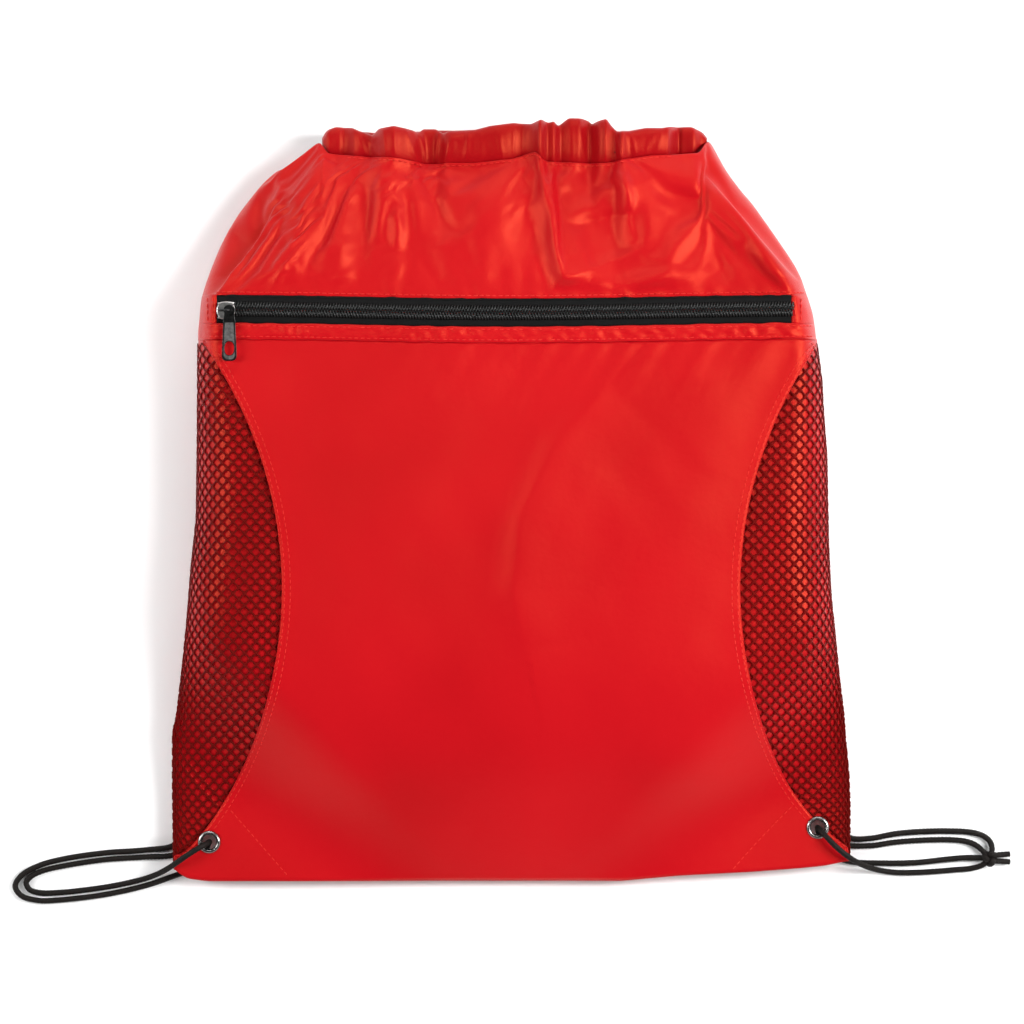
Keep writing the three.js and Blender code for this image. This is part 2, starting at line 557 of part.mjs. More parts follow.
add("back_panel", "red_fabric", backPanel());
add("pocket_back_panel", "red_fabric", pocketBackPanel());
add("upper_front_panel", "red_fabric", upperFrontPanel());
add("front_pocket_panel", "red_fabric", pocketFrontPanel());
add("pocket_top_hem", "red_fabric", pocketTopHem());
add("front_channel", "red_fabric", channel(frontChannelZ));
add("back_channel", "red_fabric", channel(backChannelZ));
for (const [side, sign] of [["left", -1], ["right", 1]]) {
  add(`mesh_panel_${side}`, "mesh_fabric", meshPanel(sign));
  add(`zipper_end_tab_${side}`, "red_fabric", endTab(sign));
  add(`corner_patch_${side}`, "red_fabric", cornerPatch(side));
  const [x, y] = EYELETS[side];
  add(`eyelet_${side}`, "eyelet_metal", eyelet()).position.set(x, y, 0);
  add(`eyelet_washer_${side}`, "eyelet_metal", washer()).position.set(x, y, 0);
}
for (const [side, sign] of [["lower", -1], ["upper", 1]]) {
  add(`zipper_tape_${side}`, "zipper_tape", tape(sign));
  add(`zipper_coil_${side}`, "zipper_coil", coil(sign));
}
add("zipper_slider", "slider_metal", slider());
add("zipper_pull", "pull_metal", pull()).position.set(SLIDER_X + PIVOT_FROM_SLIDER, ZIP_Y, PULL_BOTTOM);
add("drawcord_left_in_channels", "cord_braid", channelCord(1, LEFT_LANE));
add("drawcord_right_in_channels", "cord_braid", channelCord(-1, RIGHT_LANE));
add("drawcord_left_long", "cord_braid", cord(LEFT_LONG));
add("drawcord_left_short", "cord_braid", cord(LEFT_SHORT));
add("drawcord_right_front", "cord_braid", cord(RIGHT_FRONT));
add("drawcord_right_back", "cord_braid", cord(RIGHT_BACK));
add("drawcord_right_bight", "cord_braid", cord(RIGHT_BIGHT));
add("knot_left", "cord_braid", knot(LEFT_KNOT, 0));
add("knot_right", "cord_braid", knot(RIGHT_KNOT, 0));

bag.position.y = -BAG_LENGTH / 2;

export default bag;
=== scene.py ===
"""A drawstring backpack lying on its back: fabric, net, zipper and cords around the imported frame."""
import math

import bpy
import numpy as np
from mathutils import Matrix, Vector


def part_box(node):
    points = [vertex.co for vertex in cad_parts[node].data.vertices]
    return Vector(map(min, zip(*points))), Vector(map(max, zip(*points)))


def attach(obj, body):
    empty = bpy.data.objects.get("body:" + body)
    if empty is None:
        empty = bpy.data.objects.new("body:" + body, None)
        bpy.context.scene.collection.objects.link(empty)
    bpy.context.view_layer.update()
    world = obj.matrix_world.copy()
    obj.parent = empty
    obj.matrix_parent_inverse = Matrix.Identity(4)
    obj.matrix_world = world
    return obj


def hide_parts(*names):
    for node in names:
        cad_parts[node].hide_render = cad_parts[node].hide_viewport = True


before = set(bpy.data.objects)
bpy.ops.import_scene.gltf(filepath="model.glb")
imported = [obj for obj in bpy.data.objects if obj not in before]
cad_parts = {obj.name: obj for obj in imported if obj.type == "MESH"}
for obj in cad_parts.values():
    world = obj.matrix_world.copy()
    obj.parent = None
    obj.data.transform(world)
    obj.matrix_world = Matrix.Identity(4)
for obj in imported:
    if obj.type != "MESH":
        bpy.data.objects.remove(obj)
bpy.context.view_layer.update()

MM = 0.001
SEAM_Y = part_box("back_panel")[0][1] / MM  # the bottom seam's place in the frame, where heights start
SIGN = {"left": -1, "right": 1}

# ---- driving dimensions, in millimetres ----
ZIP_Y = 309.0
TAPE_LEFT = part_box("zipper_tape_lower")[0][0] / MM
TAPE_HALF_WIDTH = 7.5
ZIP_SAG = 2.0
HEM_HEIGHT = 8.7
HEM_TOP = ZIP_Y - TAPE_HALF_WIDTH
POCKET_TOP = HEM_TOP - HEM_HEIGHT
UPPER_BOTTOM = ZIP_Y + TAPE_HALF_WIDTH
CORD_DIAMETER = 3.2
LIE = 1.75  # height of a cord's centre line on the ground
WAIST_RADIUS, WAIST_X, WAIST_Y = 222.0, 345.0, 160.0  # the circle that cuts away the pocket's side
EYELETS = {"left": (-164.3, 21.3), "right": (166.9, 29.2)}
EYELET_HOLE = 5.2  # radius of the hole in each layer of cloth
PATCH_WIDTH, PATCH_HEIGHT = 65.0, 74.5
PATCH_REACH = 49.0  # from the bag's corner, squarely to the patch's slanting edge
WALL_DEPTH, PATCH_DEPTH = 2.45, 4.8  # of the pocket's inner wall and the patches under the front
TAB_INNER = {"left": 158.0, "right": 150.5}  # where the folds over the zipper's ends begin
BAG_HALF_WIDTH = 184.0
KNOTS = {"left": (-161.5, 145.0, 4.5), "right": (261.4, 11.9, 4.5)}

# ---- camera: straight above, with the mouth at the top, in metres ----
CAMERA_HEIGHT = 2.80
PICTURE_MIDDLE = (0.0005, -0.0048)
FRAME_WIDTH = 0.556
BAG_MIDDLE_Z = 0.02
LENS = 180.0


def make_camera():
    data = bpy.data.cameras.new("camera")
    data.lens = LENS
    data.sensor_width = FRAME_WIDTH * LENS / (CAMERA_HEIGHT - BAG_MIDDLE_Z)
    data.clip_end = 20
    camera = linked("camera", data)
    camera.location = (*PICTURE_MIDDLE, CAMERA_HEIGHT)
    bpy.context.scene.camera = camera


# ---- small helpers ----
def to_frame(points):
    """Millimetres with heights from the bottom seam, to metres in the frame."""
    return (np.asarray(points, dtype=float) + np.array([0.0, SEAM_Y, 0.0])) * MM


def smoothstep(value, low, high):
    t = np.clip((np.asarray(value, dtype=float) - low) / (high - low), 0, 1)
    return t * t * (3 - 2 * t)


def softened(table, reach=4.0):
    """A function through a table of (at, value) pairs, with its corners rounded over reach."""
    at, value = np.array(table, dtype=float).T
    dense = np.linspace(at[0] - 4 * reach, at[-1] + 4 * reach, 1500)
    offsets = np.linspace(-2.5, 2.5, 25) * reach
    weights = np.exp(-0.5 * (offsets / reach) ** 2)
    curve = sum(w * np.interp(dense + o, at, value) for w, o in zip(weights, offsets)) / weights.sum()
    return lambda x: np.interp(x, dense, curve)


def linked(name, data):
    obj = bpy.data.objects.new(name, data)
    bpy.context.scene.collection.objects.link(obj)
    return obj


def add_object(name, data, material, body):
    obj = linked(name, data)
    data.materials.append(material)
    data.polygons.foreach_set("use_smooth", [True] * len(data.polygons))
    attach(obj, body)
    return obj


def mesh_object(name, vertices, faces, material, body="bag", uv=None):
    """A mesh from millimetre points; uv has one pair for each vertex."""
    mesh = bpy.data.meshes.new(name)
    mesh.from_pydata(to_frame(vertices).tolist(), [], faces)
    if uv is not None:
        layer = mesh.uv_layers.new(name="UVMap")
        loops = np.empty(len(mesh.loops), dtype=np.int32)
        mesh.loops.foreach_get("vertex_index", loops)
        layer.data.foreach_set("uv", np.asarray(uv, dtype=np.float32)[loops].ravel())
    mesh.update()
    return add_object(name, mesh, material, body)


def stand_for(obj, slot, *nodes):
    """Hides the CAD nodes that a piece stands for; its material slot is not used."""
    for node in nodes:
        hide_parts(node)
    return obj


def joined(parts):
    """One array of vertices and one list of faces from several (vertices, faces) pairs."""
    vertices, faces, start = [], [], 0
    for points, polygons in parts:
        vertices.append(points)
        faces += [tuple(start + k for k in polygon) for polygon in polygons]
        start += len(points)
    return np.vstack(vertices), faces


def grid_faces(rows, columns, wrap=False):
    faces = []
    for start in range(0, (rows - 1) * columns, columns):
        for j in range(columns if wrap else columns - 1):
            k = (j + 1) % columns
            faces.append((start + j, start + k, start + columns + k, start + columns + j))
    return faces


def distance_along(points):
    """Distances from the first point of each path, whose points run along the first axis."""
    steps = np.linalg.norm(np.diff(points, axis=0), axis=-1)
    return np.concatenate([np.zeros((1, *steps.shape[1:])), np.cumsum(steps, axis=0)])


def cloth_uv(points):
    """Distances along the cloth in metres, across from its middle column and up from its first row."""
    across = distance_along(points.swapaxes(0, 1)).T
    across -= across[:, points.shape[1] // 2][:, None]
    return np.stack([across, distance_along(points)], axis=2).reshape(-1, 2) * MM


def thicken(obj, thickness, offset=-1):
    """Thickness below the surface, or above it with an offset of 1."""
    solid = obj.modifiers.new("thickness", "SOLIDIFY")
    solid.thickness = thickness * MM
    solid.offset = offset


# ---- material nodes ----
class Nodes:
    """A material's node tree, with short ways to add what the materials below are made of."""

    def __init__(self, name):
        self.material = bpy.data.materials.new(name)
        self.material.use_nodes = True
        self.tree = self.material.node_tree
        self.shader = self.tree.nodes["Principled BSDF"]

    def add(self, kind, inputs=(), **settings):
        node = self.tree.nodes.new("ShaderNode" + kind)
        for key, value in settings.items():
            setattr(node, key, value)
        for socket, value in dict(inputs).items():
            if isinstance(value, bpy.types.NodeSocket):
                self.tree.links.new(value, node.inputs[socket])
            else:
                node.inputs[socket].default_value = value
        return node

    def math(self, operation, a, b=0.0, c=0.0):
        return self.add("Math", {0: a, 1: b, 2: c}, operation=operation).outputs[0]

    def noise(self, scale, detail=3.0, roughness=0.5, coordinates="Object"):
        place = self.add("TexCoord").outputs[coordinates]
        return self.add("TexNoise", {"Vector": place, "Scale": scale, "Detail": detail,
                                     "Roughness": roughness}).outputs["Fac"]

    def colours(self, factor, stops):
        ramp = self.add("ValToRGB", {"Fac": factor})
        elements = ramp.color_ramp.elements
        while len(elements) < len(stops):
            elements.new(0.5)
        for element, (at, colour) in zip(elements, stops):
            element.position = at
            element.color = (*colour, 1)
        return ramp.outputs["Color"]

    def bump(self, height, strength, distance, below=None):
        inputs = {"Height": height, "Strength": strength, "Distance": distance}
        if below is not None:
            inputs["Normal"] = below
        return self.add("Bump", inputs).outputs["Normal"]

    def set(self, **sockets):
        for key, value in sockets.items():
            socket = self.shader.inputs[key.replace("_", " ")]
            if isinstance(value, bpy.types.NodeSocket):
                self.tree.links.new(value, socket)
            else:
                socket.default_value = value


def weave_height(nodes, pitch):
    """Plain weave from the cloth's own coordinates: threads over and under every pitch metres."""
    place = nodes.add("SeparateXYZ", {0: nodes.add("TexCoord").outputs["UV"]})
    turns = 2 * math.pi / pitch
    warp, weft = (nodes.math("SINE", nodes.math("MULTIPLY", place.outputs[k], turns)) for k in (0, 1))
    return nodes.math("MULTIPLY", warp, weft)


GLOW_TINT = (1.0, 0.16, 0.07, 1.0)  # of red cloth's sheen
SHINE_TINT = (1.0, 0.20, 0.08, 1.0)  # of its highlights


def cloth_material(name, dark, mid, bright, roughness=0.35, sheen=0.02, pitch=0.0007, shine=0.78):
    """Woven cloth: three shades mixed in patches and fibres, fine crinkles, and the weave itself."""
    nodes = Nodes(name)
    patches = nodes.noise(11.0, 1.0)
    fibres = nodes.noise(2600.0, 2.0, coordinates="UV")
    mixed = nodes.math("MULTIPLY_ADD", fibres, 0.45, nodes.math("MULTIPLY", patches, 0.55))
    nodes.set(Base_Color=nodes.colours(mixed, [(0.3, dark), (0.5, mid), (0.72, bright)]))
    rough = nodes.math("MULTIPLY_ADD", fibres, 0.12, roughness - 0.06)
    crinkle = nodes.bump(nodes.noise(170.0, 4.0, 0.6), 0.22, 0.0007)
    weave = nodes.bump(weave_height(nodes, pitch), 0.35, 0.00006, crinkle)
    nodes.set(Roughness=rough, Normal=weave)
    nodes.set(Sheen_Weight=sheen, Sheen_Roughness=0.45, Sheen_Tint=GLOW_TINT)
    nodes.set(Specular_IOR_Level=shine, Specular_Tint=SHINE_TINT)
    return nodes.material


def braid_material():
    nodes = Nodes("cord_braid")
    fibres = nodes.noise(900.0, 3.0, 0.7)
    black, warm_black = (0.003, 0.0023, 0.0019), (0.011, 0.008, 0.0065)
    nodes.set(Base_Color=nodes.colours(fibres, [(0.35, black), (0.68, warm_black)]))
    nodes.set(Roughness=0.6, Normal=nodes.bump(fibres, 0.5, 0.0003), Specular_IOR_Level=0.16)
    return nodes.material


def grained_material(name, dark, bright, roughness, scratch, noise, bump, **sockets):
    """Two shades mixed by a grain, which also adds up to scratch of roughness and lifts the surface."""
    nodes = Nodes(name)
    grain = nodes.noise(*noise)
    nodes.set(Base_Color=nodes.colours(grain, [(0.35, dark), (0.7, bright)]))
    nodes.set(Roughness=nodes.math("MULTIPLY_ADD", grain, scratch, roughness))
    nodes.set(Normal=nodes.bump(grain, *bump), **sockets)
    return nodes.material


def metal_material(name, dark, bright, roughness, scratch=0.12):
    return grained_material(name, dark, bright, roughness, scratch, (420.0, 4.0, 0.6), (0.2, 0.0001),
                            Metallic=1.0)


CORD_BRAID = braid_material()


# ---- cords ----
def spline(points, spacing):
    """A centripetal Catmull-Rom curve through the points, resampled evenly."""
    p = np.asarray(points, dtype=float)
    p = np.vstack([2 * p[0] - p[1], p, 2 * p[-1] - p[-2]])
    knots = np.concatenate([[0], np.cumsum(np.linalg.norm(np.diff(p, axis=0), axis=1) ** 0.5)])
    dense = []
    for i in range(1, len(p) - 2):
        t0, t1, t2, t3 = knots[i - 1:i + 3]
        t = np.linspace(t1, t2, 24, endpoint=False)[:, None]
        a1 = (t1 - t) / (t1 - t0) * p[i - 1] + (t - t0) / (t1 - t0) * p[i]
        a2 = (t2 - t) / (t2 - t1) * p[i] + (t - t1) / (t2 - t1) * p[i + 1]
        a3 = (t3 - t) / (t3 - t2) * p[i + 1] + (t - t2) / (t3 - t2) * p[i + 2]
        b1 = (t2 - t) / (t2 - t0) * a1 + (t - t0) / (t2 - t0) * a2
        b2 = (t3 - t) / (t3 - t1) * a2 + (t - t1) / (t3 - t1) * a3
        dense.append((t2 - t) / (t2 - t1) * b1 + (t - t1) / (t2 - t1) * b2)
    dense = np.vstack(dense + [p[-2:-1]])
    at = distance_along(dense)
    even = np.linspace(0, at[-1], max(2, int(round(at[-1] / spacing)) + 1))
    return np.stack([np.interp(even, at, dense[:, k]) for k in range(3)], axis=1)


NO_PATH_RUNS = (0.3, 0.2, 0.93)  # a direction that no path starts along


def tube_frames(path):
    """Two directions square to the path at each point, carried along it without twist."""
    tangents = np.gradient(path, axis=0)
    tangents /= np.linalg.norm(tangents, axis=1)[:, None]
    side = np.cross(tangents[0], NO_PATH_RUNS)
    sides = []
    for tangent in tangents:
        side = side - tangent * np.dot(side, tangent)
        side /= np.linalg.norm(side)
        sides.append(side)
    sides = np.array(sides)
    return sides, np.cross(tangents, sides)


def tube(path, radius, sides, flatten=1.0):
    """A capped tube along a path; the radius is one number, or one for each point and side."""
    across, ups = tube_frames(path)
    angle = np.arange(sides)[:, None] * 2 * math.pi / sides
    ring = np.cos(angle) * across[:, None] + flatten * np.sin(angle) * ups[:, None]
    points = path[:, None] + ring * np.broadcast_to(radius, (len(path), sides))[:, :, None]
    last = (len(path) - 1) * sides
    caps = [tuple(range(sides))[::-1], tuple(range(last, last + sides))]
    faces = grid_faces(len(path), sides, wrap=True) + caps
    return points.reshape(-1, 3), [face[::-1] for face in faces]


BRAID_SIDES = 20
BRAID_STRANDS = 4
BRAID_PITCH = 8.0  # of one strand's full turn
BRAID_CORE, BRAID_RELIEF = 0.80, 0.20  # shares of the cord's radius
CORD_SPACING = 0.5  # between the rings of a cord's mesh


def braid_height(angle, along):
    """0 in the grooves to 1 on the crowns of strands that cross over and under."""
    lean = 2 * math.pi * along / BRAID_PITCH
    first = BRAID_STRANDS * (angle + lean) / 2
    second = BRAID_STRANDS * (angle - lean) / 2
    over = np.sin(first + second) * np.sin(first - second) > 0
    return np.where(over, np.abs(np.sin(first)), np.abs(np.sin(second)))


def braided_tube(path, spacing=CORD_SPACING):
    """Vertices and faces of a braided cord along an evenly spaced path."""
    angle = np.arange(BRAID_SIDES) * 2 * math.pi / BRAID_SIDES
    along = np.arange(len(path)) * spacing
    crown = braid_height(angle[None, :], along[:, None])
    radius = CORD_DIAMETER / 2 * (BRAID_CORE + BRAID_RELIEF * crown)
    radius[[0, -1]] *= 0.8  # the cut ends are drawn in
    return tube(path, radius, BRAID_SIDES)


# Where the cords leave the channels, and the lanes they run in inside them.
CHANNEL_HALF_LENGTH = 91.0
EXIT_X = CHANNEL_HALF_LENGTH + 0.5
FRONT_EXIT, BACK_EXIT = 24.0, 11.2
LEFT_LANE, RIGHT_LANE = 399.15, 406.65

LEFT_LONG = [
    (-EXIT_X, LEFT_LANE, FRONT_EXIT), (-98, 399.3, 21.8), (-103.8, 397.6, 16.5), (-107.8, 394.4, 10.3),
    (-110, 389, 5.2), (-113, 380.5, 2.3), (-119, 371.5, LIE), (-128.5, 360, LIE), (-141, 344, LIE),
    (-153, 322, LIE), (-160, 290, LIE), (-163.5, 240, LIE), (-166.5, 180, LIE), (-172.5, 110, LIE),
    (-177, 65, LIE), (-177.6, 36, LIE), (-179.4, 26, LIE), (-184.5, 18.8, LIE), (-199.8, 16.2, LIE),
    (-222.1, 14.6, LIE), (-244.4, 11.3, LIE), (-258.5, 7.4, LIE), (-268, 1.8, LIE), (-271, -3.8, LIE),
    (-267.5, -8.9, LIE), (-258, -11.4, LIE), (-247.6, -11.2, LIE), (-222.1, -8.2, LIE), (-199.8, -3.3, LIE),
    (-184.6, 1.9, LIE), (-177.5, 4.6, LIE), (-171.8, 9, 1.9), (-167.4, 15.2, 3.8), (-165, 20.1, 7.4),
    (-164.4, 21.2, 11.6), (-165.4, 20.7, 15.6), (-168.2, 19.2, 18.4), (-172, 17, 19.3), (-176.6, 14, 18.8),
    (-181.6, 10.4, 17.2), (-186.2, 7.2, 13.8), (-191.1, 4.3, 8.8), (-196.6, 1.8, 4.2), (-203.5, -0.4, 2.1),
    (-222.1, -4.2, LIE), (-247.6, -7.1, LIE), (-258, -7.1, LIE), (-263.2, -5.4, LIE), (-265, -1.6, LIE),
    (-262.2, 1.8, LIE), (-255.5, 4.9, LIE), (-244.4, 7.5, LIE), (-222.1, 10.9, LIE), (-199.8, 12.4, LIE),
    (-184.5, 13.4, LIE), (-177.4, 17.2, LIE), (-173.9, 24.6, LIE), (-173.2, 40, LIE), (-171, 80, LIE),
    (-165.5, 118, LIE), (-162, 133, 2.4), (-161.5, 140, 3.6),
]
LEFT_SHORT = [
    (-EXIT_X, LEFT_LANE, BACK_EXIT), (-98, 398.6, 8.4), (-102.5, 395.3, 4.7), (-105, 389.5, 2.5),
    (-108, 380.5, LIE), (-114.5, 370, LIE), (-124, 357, LIE), (-136, 340, LIE), (-147.5, 318, LIE),
    (-155, 288, LIE), (-158.5, 240, LIE), (-161, 185, LIE), (-161.5, 162, 2), (-161.5, 150, 3.6),
]
RIGHT_FRONT = [
    (EXIT_X, RIGHT_LANE, FRONT_EXIT), (97.6, 406.4, 21.6), (103, 404.3, 16), (106.6, 400, 10.3),
    (108.8, 394, 5.6), (111.6, 385, 2.5), (117, 375, LIE), (127, 361.8, LIE), (140, 345, LIE),
    (152, 323, LIE), (159.5, 290, LIE), (163.5, 240, LIE), (166.5, 180, LIE), (172.5, 110, LIE),
    (177, 65, LIE), (177.8, 38, LIE), (179.8, 28.2, LIE), (185.5, 22.8, LIE), (196.6, 22.6, LIE),
    (209.6, 25, LIE), (222, 26.2, LIE), (238.9, 26.6, LIE), (251.5, 25.9, LIE), (258, 23.9, 1.7),
    (261.6, 20.9, 2.4), (262.7, 16.9, 3.6),
]
RIGHT_BACK = [
    (EXIT_X, RIGHT_LANE, BACK_EXIT), (97, 405.8, 8), (101.5, 402, 4.4), (104, 395.5, 2.5),
    (106.5, 385.5, LIE), (112.5, 373.5, LIE), (122.5, 359, LIE), (135, 341.5, LIE), (146.8, 319.5, LIE),
    (154.6, 288, LIE), (158.8, 240, LIE), (162, 180, LIE), (168, 110, LIE), (172.6, 65, LIE),
    (173.6, 36, LIE), (175.4, 25.6, LIE), (181, 19.6, LIE), (196.6, 18.6, LIE), (209.6, 20.4, LIE),
    (222, 21.4, LIE), (239, 21.8, LIE), (248.5, 20.9, 1.7), (254, 18.8, 2.4), (257.8, 15.6, 3.6),
]
RIGHT_BIGHT = [
    (257.8, 8.3, 3.6), (251.8, 6.2, 2.2), (243.3, 5.4, LIE), (230.8, 4.4, LIE), (217.7, 3.8, LIE),
    (209, 4, 1.9), (202.4, 5, 3.4), (196.6, 6.6, 7.4), (191.3, 8.8, 12.4), (186.2, 11.6, 16.6),
    (180.6, 15.6, 18.8), (175.4, 20.2, 19.3), (171.2, 24.6, 18.4), (168.2, 27.9, 15.6), (167, 29, 11.6),
    (167.3, 27.7, 7.4), (168.9, 22.9, 3.8), (172.2, 17.4, 2), (177.2, 12.8, LIE), (185, 9.9, LIE),
    (205, 9, LIE), (222, 9.4, LIE), (238.9, 11.2, LIE), (248.5, 12, 2.2), (256.3, 12, 3.6)
]


def make_knot(side):
    """An overhand knot pulled tight, with its two cut ends side by side."""
    x, y, z = KNOTS[side]
    t = np.linspace(0, 2 * math.pi, 30)
    small, large = 1.15, 2.1
    routes = [np.stack([
        small * np.sin(t) + large * np.sin(2 * t),
        small * np.cos(t) - large * np.cos(2 * t),
        -large * np.sin(3 * t),
    ], axis=1)]
    for offset, rise in ((-1.75, 0.0), (1.75, 0.35)):
        routes.append([(-1.5, offset * 0.4, 0.6), (2.5, offset * 0.8, 0.2), (6.0, offset, -1.6),
                       (11.2, offset * 1.25, -2.4 + rise)])
    spacing = 0.4
    paths = [spline(np.array(route) + np.array([x, y, z]), spacing) for route in routes]
    vertices, faces = joined([braided_tube(path, spacing) for path in paths])
    vertices[:, 2] = np.maximum(vertices[:, 2], 0.05)
    knot = mesh_object(f"tied_knot_{side}", vertices, faces, CORD_BRAID)
    return stand_for(knot, "cord_braid", f"knot_{side}")


def into_knot(point, side):
    """A place a little inside the knot from where a cord's bare route ends at it."""
    point, middle = np.array(point), np.array(KNOTS[side])
    return tuple(middle + (point - middle) * 0.42)


def make_cord(node, route):
    """A cord in the open: it leaves a channel, or the knot itself, and ends in the knot on its side."""
    side = "left" if "left" in node else "right"
    route = route + [into_knot(route[-1], side)]
    if node == "drawcord_right_bight":
        route = [into_knot(route[0], side)] + route
    path = spline(route, CORD_SPACING)
    piece = mesh_object(node.replace("drawcord", "braided_cord"), *braided_tube(path), CORD_BRAID)
    stand_for(piece, "cord_braid", node)


def make_cords():
    left, right = make_knot("left"), make_knot("right")
    make_cord("drawcord_left_long", LEFT_LONG)
    make_cord("drawcord_left_short", LEFT_SHORT)
    make_cord("drawcord_right_front", RIGHT_FRONT)
    make_cord("drawcord_right_back", RIGHT_BACK)
    make_cord("drawcord_right_bight", RIGHT_BIGHT)


make_cords()

# ---- the bag's shape, with heights from the bottom seam ----
# The bag's half width to each side, at heights up the bag.
LEFT_EDGE = softened([
    (0, 183.8), (52, 184.3), (82, 184), (91, 181.4), (118, 178), (144, 175.4), (170, 173.5),
    (197, 170.5), (235, 170), (298, 169.6), (317, 167.8), (326, 164.5), (343, 158.6), (361, 149.3),
    (381, 134), (391, 120.5), (397.5, 112.5), (403, 107), (408, 102)
], 3)
RIGHT_EDGE = softened([
    (0, 184.4), (38.7, 184.6), (58, 183.9), (72, 182.4), (91, 180.6), (111, 177.9), (131, 175.9),
    (157, 173.2), (182, 172), (232, 171), (252, 169.4), (272, 168.3), (285, 166.5), (307, 163.8),
    (318, 160.2), (326, 157.5), (336, 152.6), (351, 142.8), (368, 131.4), (380, 120.5), (391, 114),
    (401, 109), (408, 104)
], 3)
OUTLINE = {-1: LEFT_EDGE, 1: RIGHT_EDGE}
# The bottom edge's height above the seam's lowest place, at places across.
bottom_lift = softened([
    (-183.5, 7), (-180, 3.6), (-176, 1.4), (-165, 0), (60, 0), (91.8, 3), (131.4, 5.1), (157.5, 7.1),
    (170.5, 8.4), (182.4, 10.9)
], 1.5)
# At heights up the bag: the side seams' height above the ground, the front's in the middle, and the radius
# that the front turns down to the side seams with.
seam_height = softened([(0, 8.5), (45, 8.5), (120, 20), (340, 20), (414, 17)], 8)
crown_height = softened([(0, 50), (110, 54), (200, 55), (285, 52.2), (332, 52), (360, 46), (394, 34)], 6)
edge_rounding = softened([(0, 22), (100, 25), (220, 24), (284, 13), (334, 12), (360, 15), (414, 18)], 6)
# Heights up the bag, at places across: the front channel's stitched edge, and its free edge at the mouth.
STITCH_LINE = softened([
    (-122, 386), (-118, 390.5), (-112, 396), (-107, 400.2), (-104, 401.2), (-101.5, 398), (-99, 394.5),
    (-88.5, 393.5), (-60, 391), (-47, 388.8), (-19.5, 388.8), (0, 391), (13, 395), (18.5, 389.5),
    (52, 388.8), (62, 391), (76, 393), (88.5, 393.5), (102, 394.5), (105, 400), (108, 402), (111, 398.5),
    (115, 392.5), (123, 381)
], 0.9)
MOUTH_EDGE = softened([
    (-103, 402), (-99.5, 408), (-95, 409.6), (-86, 409), (-82, 407), (-78.2, 406), (-74.9, 404.4),
    (-71.7, 407.8), (-63, 409.2), (-53.2, 407.2), (-50, 405.8), (-47.8, 408.3), (-40.7, 408.3),
    (-36.9, 405.6), (-33.1, 407), (-19.5, 407.4), (-11.9, 409.4), (1.6, 411.2), (10.9, 410.4),
    (16.3, 412.7), (20.1, 411.1), (23.3, 412.1), (25.2, 409.4), (31, 413.9), (38, 413.9), (42.4, 412.6),
    (43.6, 410.6), (46.2, 412.1), (51.6, 413.5), (54, 409.8), (57.3, 406.2), (63.5, 406.6),
    (72.8, 408.3), (81.5, 408.3), (87, 409.4), (98, 409.6), (103.5, 407), (107, 402)
], 0.7)
# How far the gathered mouth stands forward of its mean at each place across it.
GATHERS = softened([
    (-118, 0), (-100, 0.4), (-91, 0.6), (-82, -0.4), (-76, -2.4), (-70, 1.6), (-60, 2.2), (-52, 1.2),
    (-47, -2.6), (-40, -2.2), (-35, 0.4), (-26, -0.9), (-14, -0.7), (-6, 0.9), (6, 1.2), (15.5, 3.0),
    (19, -2.6), (23.5, 0.2), (26.5, -3.0), (32, 0.2), (37, 1.0), (42.5, -2.9), (47.5, 0.9), (51.5, 0.2),
    (56, -3.4), (60, 1.2), (70, 2.2), (82, 1.6), (92, 0.6), (118, 0)
], 0.8)
# Folds pulled in by the drawn cords: (line of the crest, height, spread left, spread right, softness).
FOLDS = [
    ([(15, 402), (18, 372), (24, 345), (29, 323)], 6.4, 16, 6, 0.2),
    ([(36, 396), (47, 362), (57, 338)], -8.0, 13, 24, 1.0),
    ([(57, 404), (60, 384), (64, 362)], 5.0, 4, 15, 0.2),
    ([(72, 398), (100, 366), (120, 336)], 5.2, 17, 22, 0.9),
    ([(92, 400), (122, 370), (148, 338)], 2.2, 10, 12, 0.5),
    ([(102, 352), (110, 338), (116, 324)], -2.6, 8, 8, 0.6),
    ([(128, 346), (140, 330), (150, 322)], 1.8, 7, 8, 0.5),
    ([(-106, 392), (-115, 360), (-123, 323)], 6.2, 9, 11, 0.3),
    ([(-92, 398), (-100, 366), (-108, 334)], -3.0, 9, 13, 0.7),
    ([(-132, 374), (-139, 350), (-145, 328)], -3.6, 12, 10, 0.8),
    ([(-149, 352), (-156, 328)], 2.4, 8, 8, 0.6),
    ([(-66, 402), (-63, 374), (-60, 342)], 5.0, 8, 13, 0.35),
    ([(-83, 398), (-88, 360), (-92, 330)], 2.3, 7, 8, 0.4),
    ([(-76, 374), (-79, 345)], -2.5, 6, 6, 0.6),
    ([(-44, 396), (-40, 372), (-31, 350)], -4.2, 9, 13, 0.6),
    ([(10, 388), (-16, 364), (-50, 338)], 3.4, 17, 17, 1.2),
    ([(5, 396), (9, 368), (13, 340)], -2.4, 7, 7, 0.7),
    ([(30, 325), (60, 320), (90, 327)], 2.4, 5, 7, 0.5),
    ([(-112, 330), (-100, 322), (-84, 328)], 1.4, 5, 6, 0.5),
    ([(-20, 332), (4, 324), (24, 330)], -1.3, 6, 6, 0.6),
]
